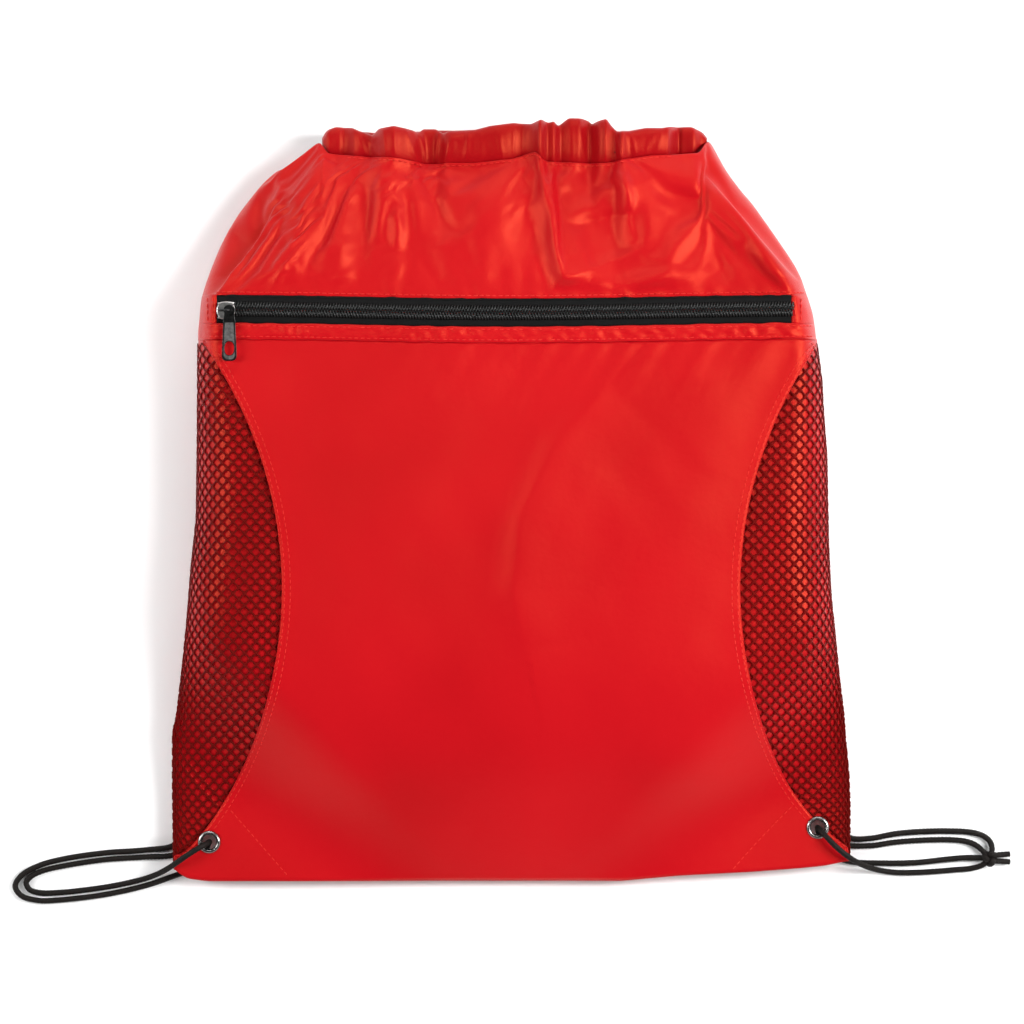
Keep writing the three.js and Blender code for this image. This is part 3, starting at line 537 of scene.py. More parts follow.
# The largest folds, raised again once the cloth has settled.
BROAD_FOLDS = [
    ([(15, 402), (19, 372), (23, 345), (31, 321)], 4.6, 24, 4.5, 0.25),
    ([(56, 402), (71, 377), (84, 350), (84, 334)], 4.6, 8, 26, 0.5),
    ([(-106, 394), (-114, 360), (-122, 322)], 4.8, 13, 14, 0.5),
    ([(-66, 400), (-63, 374), (-59, 346)], 3.6, 9, 14, 0.4),
    ([(-94, 348), (-90, 334), (-86, 322)], 2.2, 7, 9, 0.5),
    ([(8, 388), (-16, 364), (-50, 338)], 2.2, 18, 18, 1.2),
    ([(30, 325), (60, 319), (88, 330)], 2.4, 5, 8, 0.5),
    ([(128, 346), (140, 330), (150, 322)], 1.8, 8, 9, 0.5),
    ([(-84, 398), (-78, 366), (-72, 342)], -2.6, 8, 8, 0.8),
]
# Soft waves in the pocket's cloth.
POCKET_WAVES = [
    ([(52, 268), (24, 238), (6, 198), (2, 160), (8, 128)], 2.7, 30, 9, 0.35),
    ([(-60, 288), (-72, 230), (-66, 160), (-50, 90)], 0.9, 30, 30, 1.0),
    ([(88, 288), (96, 220), (84, 140), (92, 60)], 1.0, 22, 28, 1.0),
    ([(-118, 286), (-96, 262), (-84, 228)], 0.8, 14, 18, 0.8),
    ([(126, 286), (108, 262), (96, 224)], 0.9, 14, 14, 0.8),
    ([(-150, 20), (-112, 46), (-70, 62)], 1.1, 16, 14, 0.8),
    ([(150, 28), (112, 54), (66, 72)], 1.1, 14, 16, 0.8),
]


def ridges(x, y, table):
    """The height that a table of crest lines adds at each place."""
    total = np.zeros(np.broadcast(x, y).shape)
    for line, height, left, right, softness in table:
        line = np.asarray(line, dtype=float)
        lengths = np.linalg.norm(np.diff(line, axis=0), axis=1)
        best = np.full(total.shape, 1e9)
        signed = np.zeros(total.shape)
        place = np.zeros(total.shape)
        run = 0.0
        for a, b, length in zip(line[:-1], line[1:], lengths):
            ux, uy = (b - a) / length
            px, py = x - a[0], y - a[1]
            t = np.clip(px * ux + py * uy, 0, length)
            dx, dy = px - t * ux, py - t * uy
            distance = np.hypot(dx, dy)
            closer = distance < best
            best = np.where(closer, distance, best)
            signed = np.where(closer, ux * dy - uy * dx, signed)
            place = np.where(closer, run + t, place)
            run += length
        spread = np.where(signed > 0, left, right)
        profile = np.exp(softness - np.sqrt((best / spread) ** 2 + softness ** 2))
        ends = np.sqrt(np.clip(place / run, 0, 1) * np.clip(1 - place / run, 0, 1) * 4 + 0.08)
        total += height * profile * np.clip(ends, 0, 1) * np.exp(-(best / (3.2 * spread)) ** 2)
    return total


def ripple(x, y, seed, length, stretch=1.0):
    """Smooth seeded waves of about one wavelength, from -1 to 1."""
    rng = np.random.default_rng(seed)
    total = 0
    for _ in range(12):
        angle, phase = rng.uniform(0, math.pi), rng.uniform(0, 2 * math.pi)
        turns = 2 * math.pi / (length * rng.uniform(0.7, 1.5))
        total = total + np.cos(turns * (x * math.cos(angle) + y / stretch * math.sin(angle)) + phase)
    return total / 5.0


def pucker(x, y, line, height, length, reach, seed):
    """Cloth drawn up along a row of stitching."""
    rng = np.random.default_rng(seed)
    wave = 0
    for _ in range(7):
        turns = 2 * math.pi / (length * rng.uniform(0.65, 1.8))
        wave = wave + np.cos(turns * x + rng.uniform(0, 2 * math.pi) + 0.05 * (y - line))
    return height * wave / 3.0 * np.exp(-np.abs(y - line) / reach)


def zip_sag(x):
    """How far up the bag the zipper's line lies at each place across, from its height in the CAD."""
    return 0.9 - ZIP_SAG * np.cos(np.clip(np.asarray(x, dtype=float) / 165, -1, 1) * math.pi / 2) ** 2


FOLDS_DEPTH, GATHERS_DEPTH = 1.45, 1.25  # factors on the tables' heights


def relief(x, y):
    """Folds, waves and puckers of the outer cloth above its plain stuffed shape."""
    near_zip = np.exp(-((y - ZIP_Y) / 9.0) ** 4)
    upper = smoothstep(y, UPPER_BOTTOM - 2, UPPER_BOTTOM + 14)
    lower = smoothstep(POCKET_TOP - y, -2, 14)
    below_mouth = np.clip(STITCH_LINE(x) - y, 0, None)
    gathers = GATHERS_DEPTH * GATHERS(x) * np.exp(-below_mouth / 19)
    crumple = 1 - np.abs(ripple(x + 5 * ripple(x, y, 8, 60), y, 5, 46, 1.7))
    top = FOLDS_DEPTH * ridges(x, y, FOLDS) + 0.3 * ripple(x, y, 3, 34, 1.6) + 0.3 * crumple
    top = upper * top + gathers
    pocket = ridges(x, y, POCKET_WAVES) + 0.5 * ripple(x, y, 11, 95) + 0.13 * ripple(x, y, 12, 31)
    pocket = lower * (pocket + 0.12 * crumple)
    seams = pucker(x, y, UPPER_BOTTOM, height=0.55, length=11, reach=7, seed=21) * (y > UPPER_BOTTOM)
    drawn = 0.3 + 0.7 * smoothstep(x, -30, 90)  # the hem's right half is drawn up more
    leaning = x + 0.7 * (POCKET_TOP - y)
    below_hem = y <= POCKET_TOP + 0.5
    hem = pucker(leaning, y, POCKET_TOP, height=0.6, length=20, reach=13, seed=22)
    seams = seams + drawn * hem * below_hem
    seams = seams + pucker(x, y, 2, height=0.5, length=16, reach=14, seed=23) * (y < 60)
    shoulders = -5.5 * smoothstep(np.abs(x), 58, 92) * smoothstep(y, 366, 392)  # the mouth's ends lie lower
    return (top + pocket) * (1 - near_zip) + seams + shoulders


def past_patch(x, y):
    """How far a place lies from a corner patch's slanting edge, towards the bag's middle."""
    return ((BAG_HALF_WIDTH - np.abs(x)) / PATCH_WIDTH + y / PATCH_HEIGHT - 1) * PATCH_REACH


def half_width(q, y):
    return np.where(np.asarray(q) < 0, OUTLINE[-1](y), OUTLINE[1](y))


def reach_of(q, y, across):
    """The distance along the cloth from the middle out to a place across, on q's side."""
    w, r = half_width(q, y), edge_rounding(y)
    return np.where(across <= w - r, across, w - r + r * np.arcsin(np.clip((across - w + r) / r, 0, 1)))


def raised_bottom(x, y):
    """How far the bottom edge stands up the picture, fading out above the corners."""
    return bottom_lift(x) * (1 - smoothstep(y, 0, 60))


SWELL_HEIGHT, SWELL_POWER = 160, 2.3  # how far up, and how roundly, the front rises from the bottom
SEAM_STACK, CORNER_STACK = 2.2, 3.2  # thickness of the layers at the seams, and what the corners add
ALL_LAYERS = 6.5  # depth at which the layers at the seams are all passed
SAG_BEGINS, SAG_ENDS = (235, 290), (322, 385)  # heights over which the zipper's sag comes and goes
OUTER_LAYER = 1.5  # cloth from this depth on shows the folds only in part


def front(q, y, depth=0.0):
    """Points of the front: q along the cloth from the middle, y up it, depth under the outermost layer."""
    q, y = np.broadcast_arrays(np.asarray(q, dtype=float), np.asarray(y, dtype=float))
    w, r = half_width(q, y), edge_rounding(y)
    turn = np.clip((np.abs(q) - w + r) / r, 0, math.pi / 2)
    x = np.sign(q) * np.where(turn > 0, w - r + r * np.sin(turn), np.abs(q))
    sag = zip_sag(x) * smoothstep(y, *SAG_BEGINS) * (1 - smoothstep(y, *SAG_ENDS))
    real_y = y + raised_bottom(x, y) + sag
    opened = smoothstep(past_patch(x, real_y), 0, 70)  # 0 in the flat corners round the eyelets
    bottom = 1 - (1 - np.clip(y / SWELL_HEIGHT, 0, 1)) ** SWELL_POWER
    swell = np.cos(turn) * bottom * opened
    stack = SEAM_STACK + CORNER_STACK * (1 - opened)
    edge = seam_height(y) + stack * (1 - depth / ALL_LAYERS)
    top = crown_height(y) - depth
    folds = relief(x, y) * np.clip(swell, 0, 1) ** 0.7 * (1 if depth < OUTER_LAYER else 0.35)
    return np.stack([x, real_y, edge + (top - edge) * swell + folds], axis=-1)


def on_front(q, y, rise=0.0, depth=0.0):
    """Points raised off the front along the cloth's own normals, and those normals."""
    q, y = np.broadcast_arrays(np.asarray(q, dtype=float), np.asarray(y, dtype=float))
    step = 0.4
    across = front(q + step, y, depth) - front(q - step, y, depth)
    along = front(q, y + step, depth) - front(q, y - step, depth)
    normal = np.cross(across, along)
    normal /= np.maximum(np.linalg.norm(normal, axis=1), 1e-9)[:, None]
    return front(q, y, depth) + normal * rise, normal


def back(x, y):
    """Points of the back, which lies flat on the ground inside its rounded sides and bottom."""
    x, y = np.broadcast_arrays(np.asarray(x, dtype=float), np.asarray(y, dtype=float))
    across = np.abs(x) / half_width(x, y)
    real_y = y + raised_bottom(x, y)
    side = np.clip((across - 0.6) / 0.4, 0, None) ** 2.5
    bottom = np.clip(1 - y / 28, 0, 1) ** 2
    flat = (1 - side) * (1 - bottom) * smoothstep(past_patch(x, real_y), 12, 37)
    z = seam_height(y) * (1 - flat)
    crumple = 1 - np.abs(ripple(x + 9 * ripple(x, y, 31, 80), y, 32, 62, 1.5))
    wrinkles = 0.8 * crumple + 0.5 * ripple(x, y, 33, 44)
    upper = GATHERS(x) * 0.7 * np.exp(-np.clip(BACK_LOW - y, 0, None) / 22)
    loose = smoothstep(z, 1.2, 9) * smoothstep(1 - across, 0.0, 0.1)
    z = z + (np.abs(wrinkles) + np.abs(upper)) * loose
    return np.stack([x, real_y, np.maximum(z, 0.0)], axis=-1)


def hourglass(y):
    """Half the width of the pocket's solid panel."""
    edge = WAIST_X - np.sqrt(np.clip(WAIST_RADIUS ** 2 - (np.asarray(y) - WAIST_Y) ** 2, 0, None))
    return np.minimum(edge, np.minimum(OUTLINE[-1](y), OUTLINE[1](y)) - 0.3)


CHANNEL_LANES = {LEFT_LANE: 0.33, RIGHT_LANE: 0.66}  # as shares of the channels' width


BACK_LOW, BACK_HIGH = 392, 409  # the back channel's edges up the bag
CHANNEL_DROP = 3.3  # from the upper panel's edge to the middle of the front channel


def channel_height(x):
    """The height of the front channel's middle, hanging from the top edge of the upper panel."""
    edge = STITCH_LINE(x)
    hung = front(np.sign(x) * reach_of(x, edge, np.abs(x)), edge)[..., 2] - CHANNEL_DROP
    at_ends = 31 - 7 * np.clip(np.abs(x) / CHANNEL_HALF_LENGTH, 0, 1) ** 2
    return hung + (at_ends - hung) * smoothstep(np.abs(x), 84, 91)


def back_channel_height(x):
    return 5.0 + 6.2 * (x / CHANNEL_HALF_LENGTH) ** 4


def channel_route(sign, lane):
    """A cord's way inside both channels, turning round outside them on its far side."""
    turn = (FRONT_EXIT - BACK_EXIT) / 2
    middle = (FRONT_EXIT + BACK_EXIT) / 2
    end = CHANNEL_HALF_LENGTH - 0.5
    inside = np.linspace(-78, 78, 40)
    share = CHANNEL_LANES[lane]
    points = [(-end, lane, FRONT_EXIT)]
    for x in inside:
        low, high = STITCH_LINE(sign * x), MOUTH_EDGE(sign * x)
        points.append((x, low + (high - low) * share, channel_height(sign * x)))
    for angle in np.linspace(0, math.pi, 7):
        points.append((CHANNEL_HALF_LENGTH + turn * math.sin(angle), lane, middle + turn * math.cos(angle)))
    for x in inside[::-1]:
        points.append((x, BACK_LOW + (BACK_HIGH - 1 - BACK_LOW) * share, back_channel_height(x) + 0.4))
    points.append((-end, lane, BACK_EXIT))
    return [(sign * x, y, z) for x, y, z in points]


def make_channel_cords():
    for side, sign, lane in (("left", 1, LEFT_LANE), ("right", -1, RIGHT_LANE)):
        path = spline(channel_route(sign, lane), CORD_SPACING)
        piece = mesh_object(f"braided_cord_{side}_in_channels", *braided_tube(path), CORD_BRAID)
        stand_for(piece, "cord_braid", f"drawcord_{side}_in_channels")


make_channel_cords()

# ---- cloth ----
RED_CLOTH = cloth_material(
    "red_fabric", (0.36, 0.0022, 0.006), (0.42, 0.0030, 0.008), (0.475, 0.0045, 0.010))
RED_THREAD = cloth_material(
    "red_thread", (0.50, 0.010, 0.011), (0.57, 0.018, 0.018), (0.64, 0.034, 0.032),
    roughness=0.5, pitch=0.0004)
# The channels' cloth is the same red fabric with painted shade: its shades are darker to stand for the
# shade among the channels' gathers.
CHANNEL_CLOTH_PAINTED_SHADE = cloth_material(
    "channel_fabric_painted_shade", (0.26, 0.0014, 0.004), (0.30, 0.0019, 0.0055), (0.34, 0.0028, 0.007), shine=0.62)
NET_CLOTH = cloth_material(
    "net_fabric", (0.06, 0.0012, 0.0018), (0.10, 0.0018, 0.0026), (0.16, 0.0026, 0.0036),
    roughness=0.6, sheen=0.01, pitch=0.0005, shine=0.25)


def punched(points, faces, centre, radius):
    """The faces left outside a round hole, with the points round its rim drawn onto its circle."""
    points = points.copy()
    away = points[:, :2] - np.array(centre)
    distance = np.linalg.norm(away, axis=1)
    inside = distance < radius
    kept = [face for face in faces if not all(inside[k] for k in face)]
    scale = radius / np.maximum(distance[inside], 1e-6)
    points[inside, :2] = np.array(centre) + away[inside] * scale[:, None]
    return points, kept


def cloth_sheet(name, points, nodes=(), thickness=0.6, holes=(), material=RED_CLOTH, slot="red_fabric",
                offset=-1):
    """A named sheet of cloth from a grid, with its round holes, standing for its CAD nodes."""
    flat = points.reshape(-1, 3)
    faces = grid_faces(*points.shape[:2])
    for centre in holes:
        flat, faces = punched(flat, faces, centre, EYELET_HOLE)
    obj = mesh_object(name, flat, faces, material, uv=cloth_uv(points))
    thicken(obj, thickness, offset)
    return stand_for(obj, slot, *nodes)


def rows_between(low, high, step):
    """Evenly spaced heights from low to high, about a step apart."""
    return np.linspace(low, high, max(2, int(round((high - low) / step)) + 1))


def full_length(sign, y):
    """The distance along the cloth from the middle out to a side seam."""
    w, r = OUTLINE[sign](y), edge_rounding(y)
    return w - r + r * math.pi / 2


def from_seam_to_seam(columns, y):
    """Places along the cloth in each row, for columns from -1 at the left seam to 1 at the right."""
    return np.where(columns < 0, columns * full_length(-1, y), columns * full_length(1, y))


def make_pocket():
    """The pocket's solid panel, with its two curved edges folded under, and the wall behind it."""
    y = rows_between(0, POCKET_TOP + 0.6, 2.0)[:, None]
    reach = {side: reach_of(sign, y, hourglass(y)) for side, sign in SIGN.items()}
    columns = np.linspace(-1, 1, 181)
    points = front(np.where(columns < 0, columns * reach["left"], columns * reach["right"]), y)
    holes = list(EYELETS.values())
    cloth_sheet("pocket_panel", points, ["front_pocket_panel"], 0.6, holes)
    fold = np.array([9, 5, 1.2])  # how far in from the edge the cloth that is folded under it reaches
    for side, sign in SIGN.items():
        strip = front(sign * (reach[side] - fold), y, OUTER_LAYER)
        grid = [strip, points[:, :1]] if sign < 0 else [points[:, -1:], strip[:, ::-1]]
        cloth_sheet(f"pocket_panel_fold_{side}", np.concatenate(grid, axis=1), (), 0.4, [EYELETS[side]])
    y = rows_between(0, UPPER_BOTTOM - 0.5, 2.4)[:, None]
    wall = front(from_seam_to_seam(np.linspace(-1, 1, 161), y), y, WALL_DEPTH)
    waves = 0.35 * ripple(wall[..., 0], wall[..., 1], 41, 38, 1.8)
    wall[..., 2] += waves * smoothstep(wall[..., 2], 20, 40)
    cloth_sheet("pocket_inner_wall", wall, ["pocket_back_panel"], 0.5, holes)


SETTLING_FRAMES = 46
SETTLING_SCALE = 10  # the cloth settles at ten times its size, where the solver is steadier


def settled(start, flat, held):
    """The grid's points after the cloth has found its own folds between its sewn edges."""
    rows, columns = start.shape[:2]
    mesh = bpy.data.meshes.new("upper_settling")
    mesh.from_pydata((start.reshape(-1, 3) * MM * SETTLING_SCALE).tolist(), [], grid_faces(rows, columns))
    obj = linked("upper_settling", mesh)
    group = obj.vertex_groups.new(name="sewn")
    weights = held.ravel()
    for index in np.flatnonzero(weights > 0):
        group.add([int(index)], float(weights[index]), "REPLACE")
    obj.shape_key_add(name="Basis")
    rest = obj.shape_key_add(name="flat")
    rest.data.foreach_set("co", (flat.reshape(-1, 3) * MM * SETTLING_SCALE).ravel())
    cloth = obj.modifiers.new("cloth", "CLOTH")
    settings = cloth.settings
    settings.quality = 10
    settings.mass = 0.25
    settings.tension_stiffness = settings.compression_stiffness = 30
    settings.shear_stiffness = 12
    settings.bending_stiffness = 6
    settings.tension_damping = settings.compression_damping = settings.shear_damping = 12
    settings.bending_damping = 2
    settings.air_damping = 4
    settings.vertex_group_mass = "sewn"
    settings.pin_stiffness = 40
    settings.rest_shape_key = rest
    settings.effector_weights.gravity = 0
    cloth.collision_settings.use_collision = False
    cloth.collision_settings.use_self_collision = True
    cloth.collision_settings.self_distance_min = 0.008
    cloth.point_cache.frame_start, cloth.point_cache.frame_end = 1, SETTLING_FRAMES
    scene = bpy.context.scene
    for step in range(1, SETTLING_FRAMES + 1):
        scene.frame_set(step)
    mesh = bpy.data.meshes.new_from_object(obj.evaluated_get(bpy.context.evaluated_depsgraph_get()))
    points = np.empty(len(mesh.vertices) * 3)
    mesh.vertices.foreach_get("co", points)
    bpy.data.objects.remove(obj)
    scene.frame_set(1)
    return points.reshape(rows, columns, 3) / MM / SETTLING_SCALE


def make_upper():
    """The panel from the zipper up to the drawcord channel, reaching the side seams."""
    columns = np.linspace(-1, 1, 171)[None, :]
    up = np.linspace(0, 1, 45)[:, None]
    y = UPPER_BOTTOM + up * (391 - UPPER_BOTTOM) + 0 * columns
    for _ in range(12):  # the top row's height depends on its place across, which depends on its height
        x = front(from_seam_to_seam(columns, y), y)[..., 0]
        y = 0.5 * y + 0.5 * (UPPER_BOTTOM + up * (STITCH_LINE(x) + 0.6 - UPPER_BOTTOM))
    points = front(from_seam_to_seam(columns, y), y)
    along = np.linalg.norm(np.diff(points, axis=1), axis=2).sum(axis=1)[0]
    height = np.linalg.norm(np.diff(points, axis=0), axis=2).sum(axis=0)[None, :]
    narrowing = 1 - 0.10 * up  # the panel is cut narrower towards the mouth
    flat = np.stack([columns * along * narrowing / 2, up * height, 0 * (up + columns)], axis=-1)
    held = np.zeros(y.shape)
    held[0] = held[-1] = held[:, 0] = held[:, -1] = 1
    points = settled(points, flat, held)
    inside = smoothstep(up, 0, 0.2) * smoothstep(1 - up, 0, 0.2)
    inside = inside * smoothstep(1 - np.abs(columns), 0, 0.12)
    points[..., 2] += 0.85 * inside * ridges(points[..., 0], points[..., 1], BROAD_FOLDS)
    # The ends of the seam at the zipper go down to meet the back's edge.
    points[..., 2] -= 1.7 * smoothstep(np.abs(columns), 0.92, 1) * smoothstep(up, 0, 0.08)
    sheet = cloth_sheet("upper_panel", points, ["upper_front_panel"])
    smoother = sheet.modifiers.new("smoother", "SUBSURF")
    smoother.levels = smoother.render_levels = 1


def make_hem():
    """The doubled strip along the top of the pocket, just under the zipper."""
    lower_rows = POCKET_TOP + np.array([0, 0.3, 1, 2.2, 3.4, 4.6, 5.8])
    upper_rows = HEM_TOP - np.array([1.8, 0.8, 0.2, 0])
    y = np.concatenate([lower_rows, upper_rows])[:, None]
    points = front(from_seam_to_seam(np.linspace(-1, 1, 361), y), y)
    across = (y - POCKET_TOP) / HEM_HEIGHT
    belly = 0.9 * np.sqrt(np.clip(1 - (2 * across - 1) ** 2, 0, 1))
    tucks = 0.5 * ripple(points[..., 0], 2 * y, 51, 9) * belly
    points[..., 2] += 0.5 + belly + tucks
    points[..., 1] += 0.25 * ripple(points[..., 0], 0 * y, 52, 13)
    cloth_sheet("pocket_hem", points, ["pocket_top_hem"])


CHANNEL_SIDES = 28


def ring_sections(x, low, high, middle_z, half_depth):
    """Closed loops in planes across x, flattened like a sewn channel with a cord in it."""
    angle = np.arange(CHANNEL_SIDES) * 2 * math.pi / CHANNEL_SIDES
    c, s = np.cos(angle), np.sin(angle)
    y = (low + high)[:, None] / 2 + (high - low)[:, None] / 2 * (np.sign(c) * np.abs(c) ** 0.8)[None, :]
    face = np.where(s > 0, np.abs(s) ** 0.75, -np.abs(s) ** 0.75)
    z = middle_z[:, None] + half_depth[:, None] * face[None, :]
    return np.stack([np.broadcast_to(x[:, None], y.shape), y, z], axis=-1)


CHANNEL_HALF_DEPTH = 3.6
CHANNEL_GIRTH = 42  # the cloth's length round a channel
HOOD_ENDS = (-102, 106)  # past the front channel its upper cloth runs on as a hood over the cords


def make_channel(side):
    """A gathered channel for the cords, round each half of the mouth."""
    ends = HOOD_ENDS if side == "front" else (-CHANNEL_HALF_LENGTH, CHANNEL_HALF_LENGTH)
    x = np.linspace(*ends, 400)
    t = x / CHANNEL_HALF_LENGTH
    if side == "front":
        low, high = STITCH_LINE(x) - 0.6, MOUTH_EDGE(x)
        middle = channel_height(x) + 0.15 * ripple(x, 0, 61, 13)
    else:
        low = BACK_LOW + 0.8 * ripple(x, 0, 62, 26)
        high = BACK_HIGH - 2.2 * t ** 4 + 0.55 * ripple(x, 0, 63, 17)
        middle = back_channel_height(x) + 0.8 * np.abs(GATHERS(x)) * (1 - t ** 6) ** 2
    half_depth = CHANNEL_HALF_DEPTH + 0.12 * ripple(x, 0, 64, 14)
    points = ring_sections(x, low, high, middle, half_depth)
    angle = np.arange(CHANNEL_SIDES) * 2 * math.pi / CHANNEL_SIDES
    across = (points[..., 1] - low[:, None]) / (high - low)[:, None]
    lean = points[..., 0] + 7 * (across - 0.5) * ripple(points[..., 0], 0 * across, 66, 30)
    creases = 1 - np.abs(ripple(lean, points[..., 1], 65, 13, 4.5))
    drawn = 0.35 + 0.65 * smoothstep(ripple(points[..., 0], 0 * across, 67, 60), -0.2, 0.6)
    outward = np.sign(np.sin(angle))[None, :] * np.sin(angle)[None, :] ** 2
    points[..., 2] += outward * 1.3 * drawn * np.clip(creases, 0, 1) ** 2
    if side == "front":
        z = points[..., 2]
        hood = smoothstep(np.abs(points[..., 0]), CHANNEL_HALF_LENGTH - 0.5, CHANNEL_HALF_LENGTH + 2)
        top = z[:, -np.arange(CHANNEL_SIDES)]
        under = np.sin(angle)[None, :] < 0
        z = np.where(under, z + hood * (top - 1.5 - z), z)
        points[..., 2] = z + (1.2 * hood - 3.5 * smoothstep(np.abs(points[..., 0]), 98, 104))
    points[..., 2] = np.maximum(points[..., 2], 0.1)
    along = distance_along(points[:, 0])
    around = np.linspace(0, CHANNEL_GIRTH, CHANNEL_SIDES)
    uv = np.stack(np.broadcast_arrays(along[:, None], around[None, :]), axis=-1).reshape(-1, 2) * MM
    faces = grid_faces(len(x), CHANNEL_SIDES, wrap=True)
    # the channel's cloth carries painted shade: the red fabric made darker
    obj = mesh_object(f"drawcord_channel_{side}", points.reshape(-1, 3), faces, CHANNEL_CLOTH_PAINTED_SHADE, uv=uv)
    thicken(obj, 0.55)
    stand_for(obj, "red_fabric", f"{side}_channel")


def make_back():
    """The back panel, whose thickness lies inside the bag."""
    y = rows_between(0, BACK_LOW + 1.5, 2.4)[:, None]
    even = np.linspace(-1, 1, 181)
    columns = np.sin(even * math.pi / 2) * (1 - 0.45) + even * 0.45  # closer together near the sides
    inset = 2.5 * smoothstep(y, 372, 390)
    x = np.where(columns < 0, columns * (LEFT_EDGE(y) - inset), columns * (RIGHT_EDGE(y) - inset))
    cloth_sheet("back_panel_cloth", back(x, y), ["back_panel"], 0.6, EYELETS.values(), offset=1)


def make_patch(side):
    """The triangle of doubled cloth sewn inside a bottom corner."""
    sign = SIGN[side]
    across = np.linspace(0, 1, 34)
    y = 1.5 + across[:, None] * (PATCH_HEIGHT - 3)
    inner = BAG_HALF_WIDTH - PATCH_WIDTH * (1 - y / PATCH_HEIGHT)
    reach = reach_of(sign, y, inner + across * (OUTLINE[sign](y) - 1.0 - inner))
    points = front(sign * reach, y, PATCH_DEPTH)[:, ::sign]
    node = f"corner_patch_{side}"
    cloth_sheet(f"corner_patch_cloth_{side}", points, [node], 0.5, [EYELETS[side]])


def make_tab(side):
    """The folded cloth that covers an end of the zipper."""
    sign = SIGN[side]
    y = rows_between(HEM_TOP - 0.4, UPPER_BOTTOM + 0.4, 0.9)[:, None]
    t = np.linspace(0, 1, 25)
    start, end = reach_of(sign, y, TAB_INNER[side]), full_length(sign, y)
    points = front(sign * (start + (end - start) * t), y)
    rise = 0.9 * (1 - np.exp(-t / 0.05)) * (1 - smoothstep(t, 0.8, 1))
    points[..., 2] += rise + 0.15 * ripple(points[..., 0], points[..., 1], 71, 7)
    cloth_sheet(f"zipper_tab_{side}", points[:, ::sign], [f"zipper_end_tab_{side}"], 0.5)


make_pocket()
make_upper()
make_hem()
make_channel("front")
make_channel("back")
make_back()
for corner in SIGN:
    make_patch(corner)
    make_tab(corner)

# ---- net sides ----
NET_PITCH, NET_ROW = 6.2, 3.2
NET_HALF, NET_TIP, NET_SHOULDER = 3.1, 3.1016, 0.0984  # a cell's half width, and its corners' heights
NET_DEPTH = 1.6
NET_CREST = 0.26  # how far the threads rise between the holes
NET_BOTTOM, NET_TOP = 3.5, 290  # heights of the lowest cells' middles and of the net's end
NET_INNERMOST = 115  # across; every row of the net's cells begins further out
NET_TUCK = 7.5  # how far the net runs on behind the pocket's edge
NET_NARROWEST = 10.5  # rows above the corner that are narrower than this are left out
SHARE_STEPS = 20  # cells share the points that round to one twentieth of a millimetre


def net_cell():
    """A cell's outline and the rounded hole in it, as matching rings of fourteen points."""
    right = [(0, NET_TIP), (NET_HALF, NET_SHOULDER), (NET_HALF, -NET_SHOULDER)]
    corners = right + [(-x, -y) for x, y in right]
    outline = []
    for a, b in zip(corners, corners[1:] + corners[:1]):
        steps = 3 if a[0] != b[0] else 1
        outline += [tuple(p + (q - p) * k / steps for p, q in zip(a, b)) for k in range(steps)]
    angle = np.arctan2(*np.array(outline).T[::-1])
    radius = 1.86 + 0.42 * np.cos(2 * angle) ** 2
    return outline, np.stack([radius * np.cos(angle), radius * np.sin(angle)], axis=1)


def make_net(side):
    """Net cells that share their outlines' points, from behind the pocket's edge to the side seam."""
    sign = SIGN[side]
    outline, hole = net_cell()
    places, faces, shared, crest = [], [], {}, []
    for j in range(int(NET_TOP / NET_ROW)):
        y = NET_BOTTOM + j * NET_ROW
        inner = reach_of(sign, y, hourglass(y)) - NET_TUCK
        outer = full_length(sign, y)
        if outer - inner < NET_NARROWEST and 40 < y:
            continue
        for i in range(60):
            q = NET_INNERMOST + i * NET_PITCH + (j % 2) * NET_PITCH / 2
            if not inner - 2.6 < q < outer + 2.4:
                continue
            ring = []
            for dx, dy in outline:
                key = (round((q + dx) * SHARE_STEPS), round((y + dy) * SHARE_STEPS))
                if key not in shared:
                    shared[key] = len(places)
                    places.append((q + dx, y + dy))
                    crest.append(NET_CREST)
                ring.append(shared[key])
            start, count = len(places), len(ring)
            places += [(q + dx, y + dy) for dx, dy in hole]
            crest += [0.0] * count
            for k in range(count):
                m = (k + 1) % count
                faces.append((ring[k], ring[m], start + m, start + k)[::sign])
    q, y = np.array(places).T
    y = np.clip(y, 0.5, POCKET_TOP + 3)
    q = np.minimum(q, full_length(sign, y))
    points, _ = on_front(sign * q, y, np.array(crest)[:, None], NET_DEPTH)
    points, faces = punched(points, faces, EYELETS[side], EYELET_HOLE)
    net = mesh_object(f"net_side_{side}", points, faces, NET_CLOTH, uv=np.stack([q, y], axis=1) * MM)
    thicken(net, 0.4)
    stand_for(net, "mesh_fabric", f"mesh_panel_{side}")


# ---- turned and flat shapes ----
TURNED_SEGMENTS = 72


def turned(name, profile, centre, material, slot, node):
    """A closed profile of (radius, height) turned round an upright axis."""
    radius, height = np.array(profile, dtype=float).T[..., None]
    angle = np.arange(TURNED_SEGMENTS) * 2 * math.pi / TURNED_SEGMENTS
    x, y = centre[0] + radius * np.cos(angle), centre[1] + radius * np.sin(angle)
    points = np.stack(np.broadcast_arrays(x, y, height), axis=-1).reshape(-1, 3)
    faces = grid_faces(len(profile) + 1, TURNED_SEGMENTS, wrap=True)
    faces = [tuple(k % len(points) for k in face) for face in faces]
    stand_for(mesh_object(name, points, faces, material), slot, node)


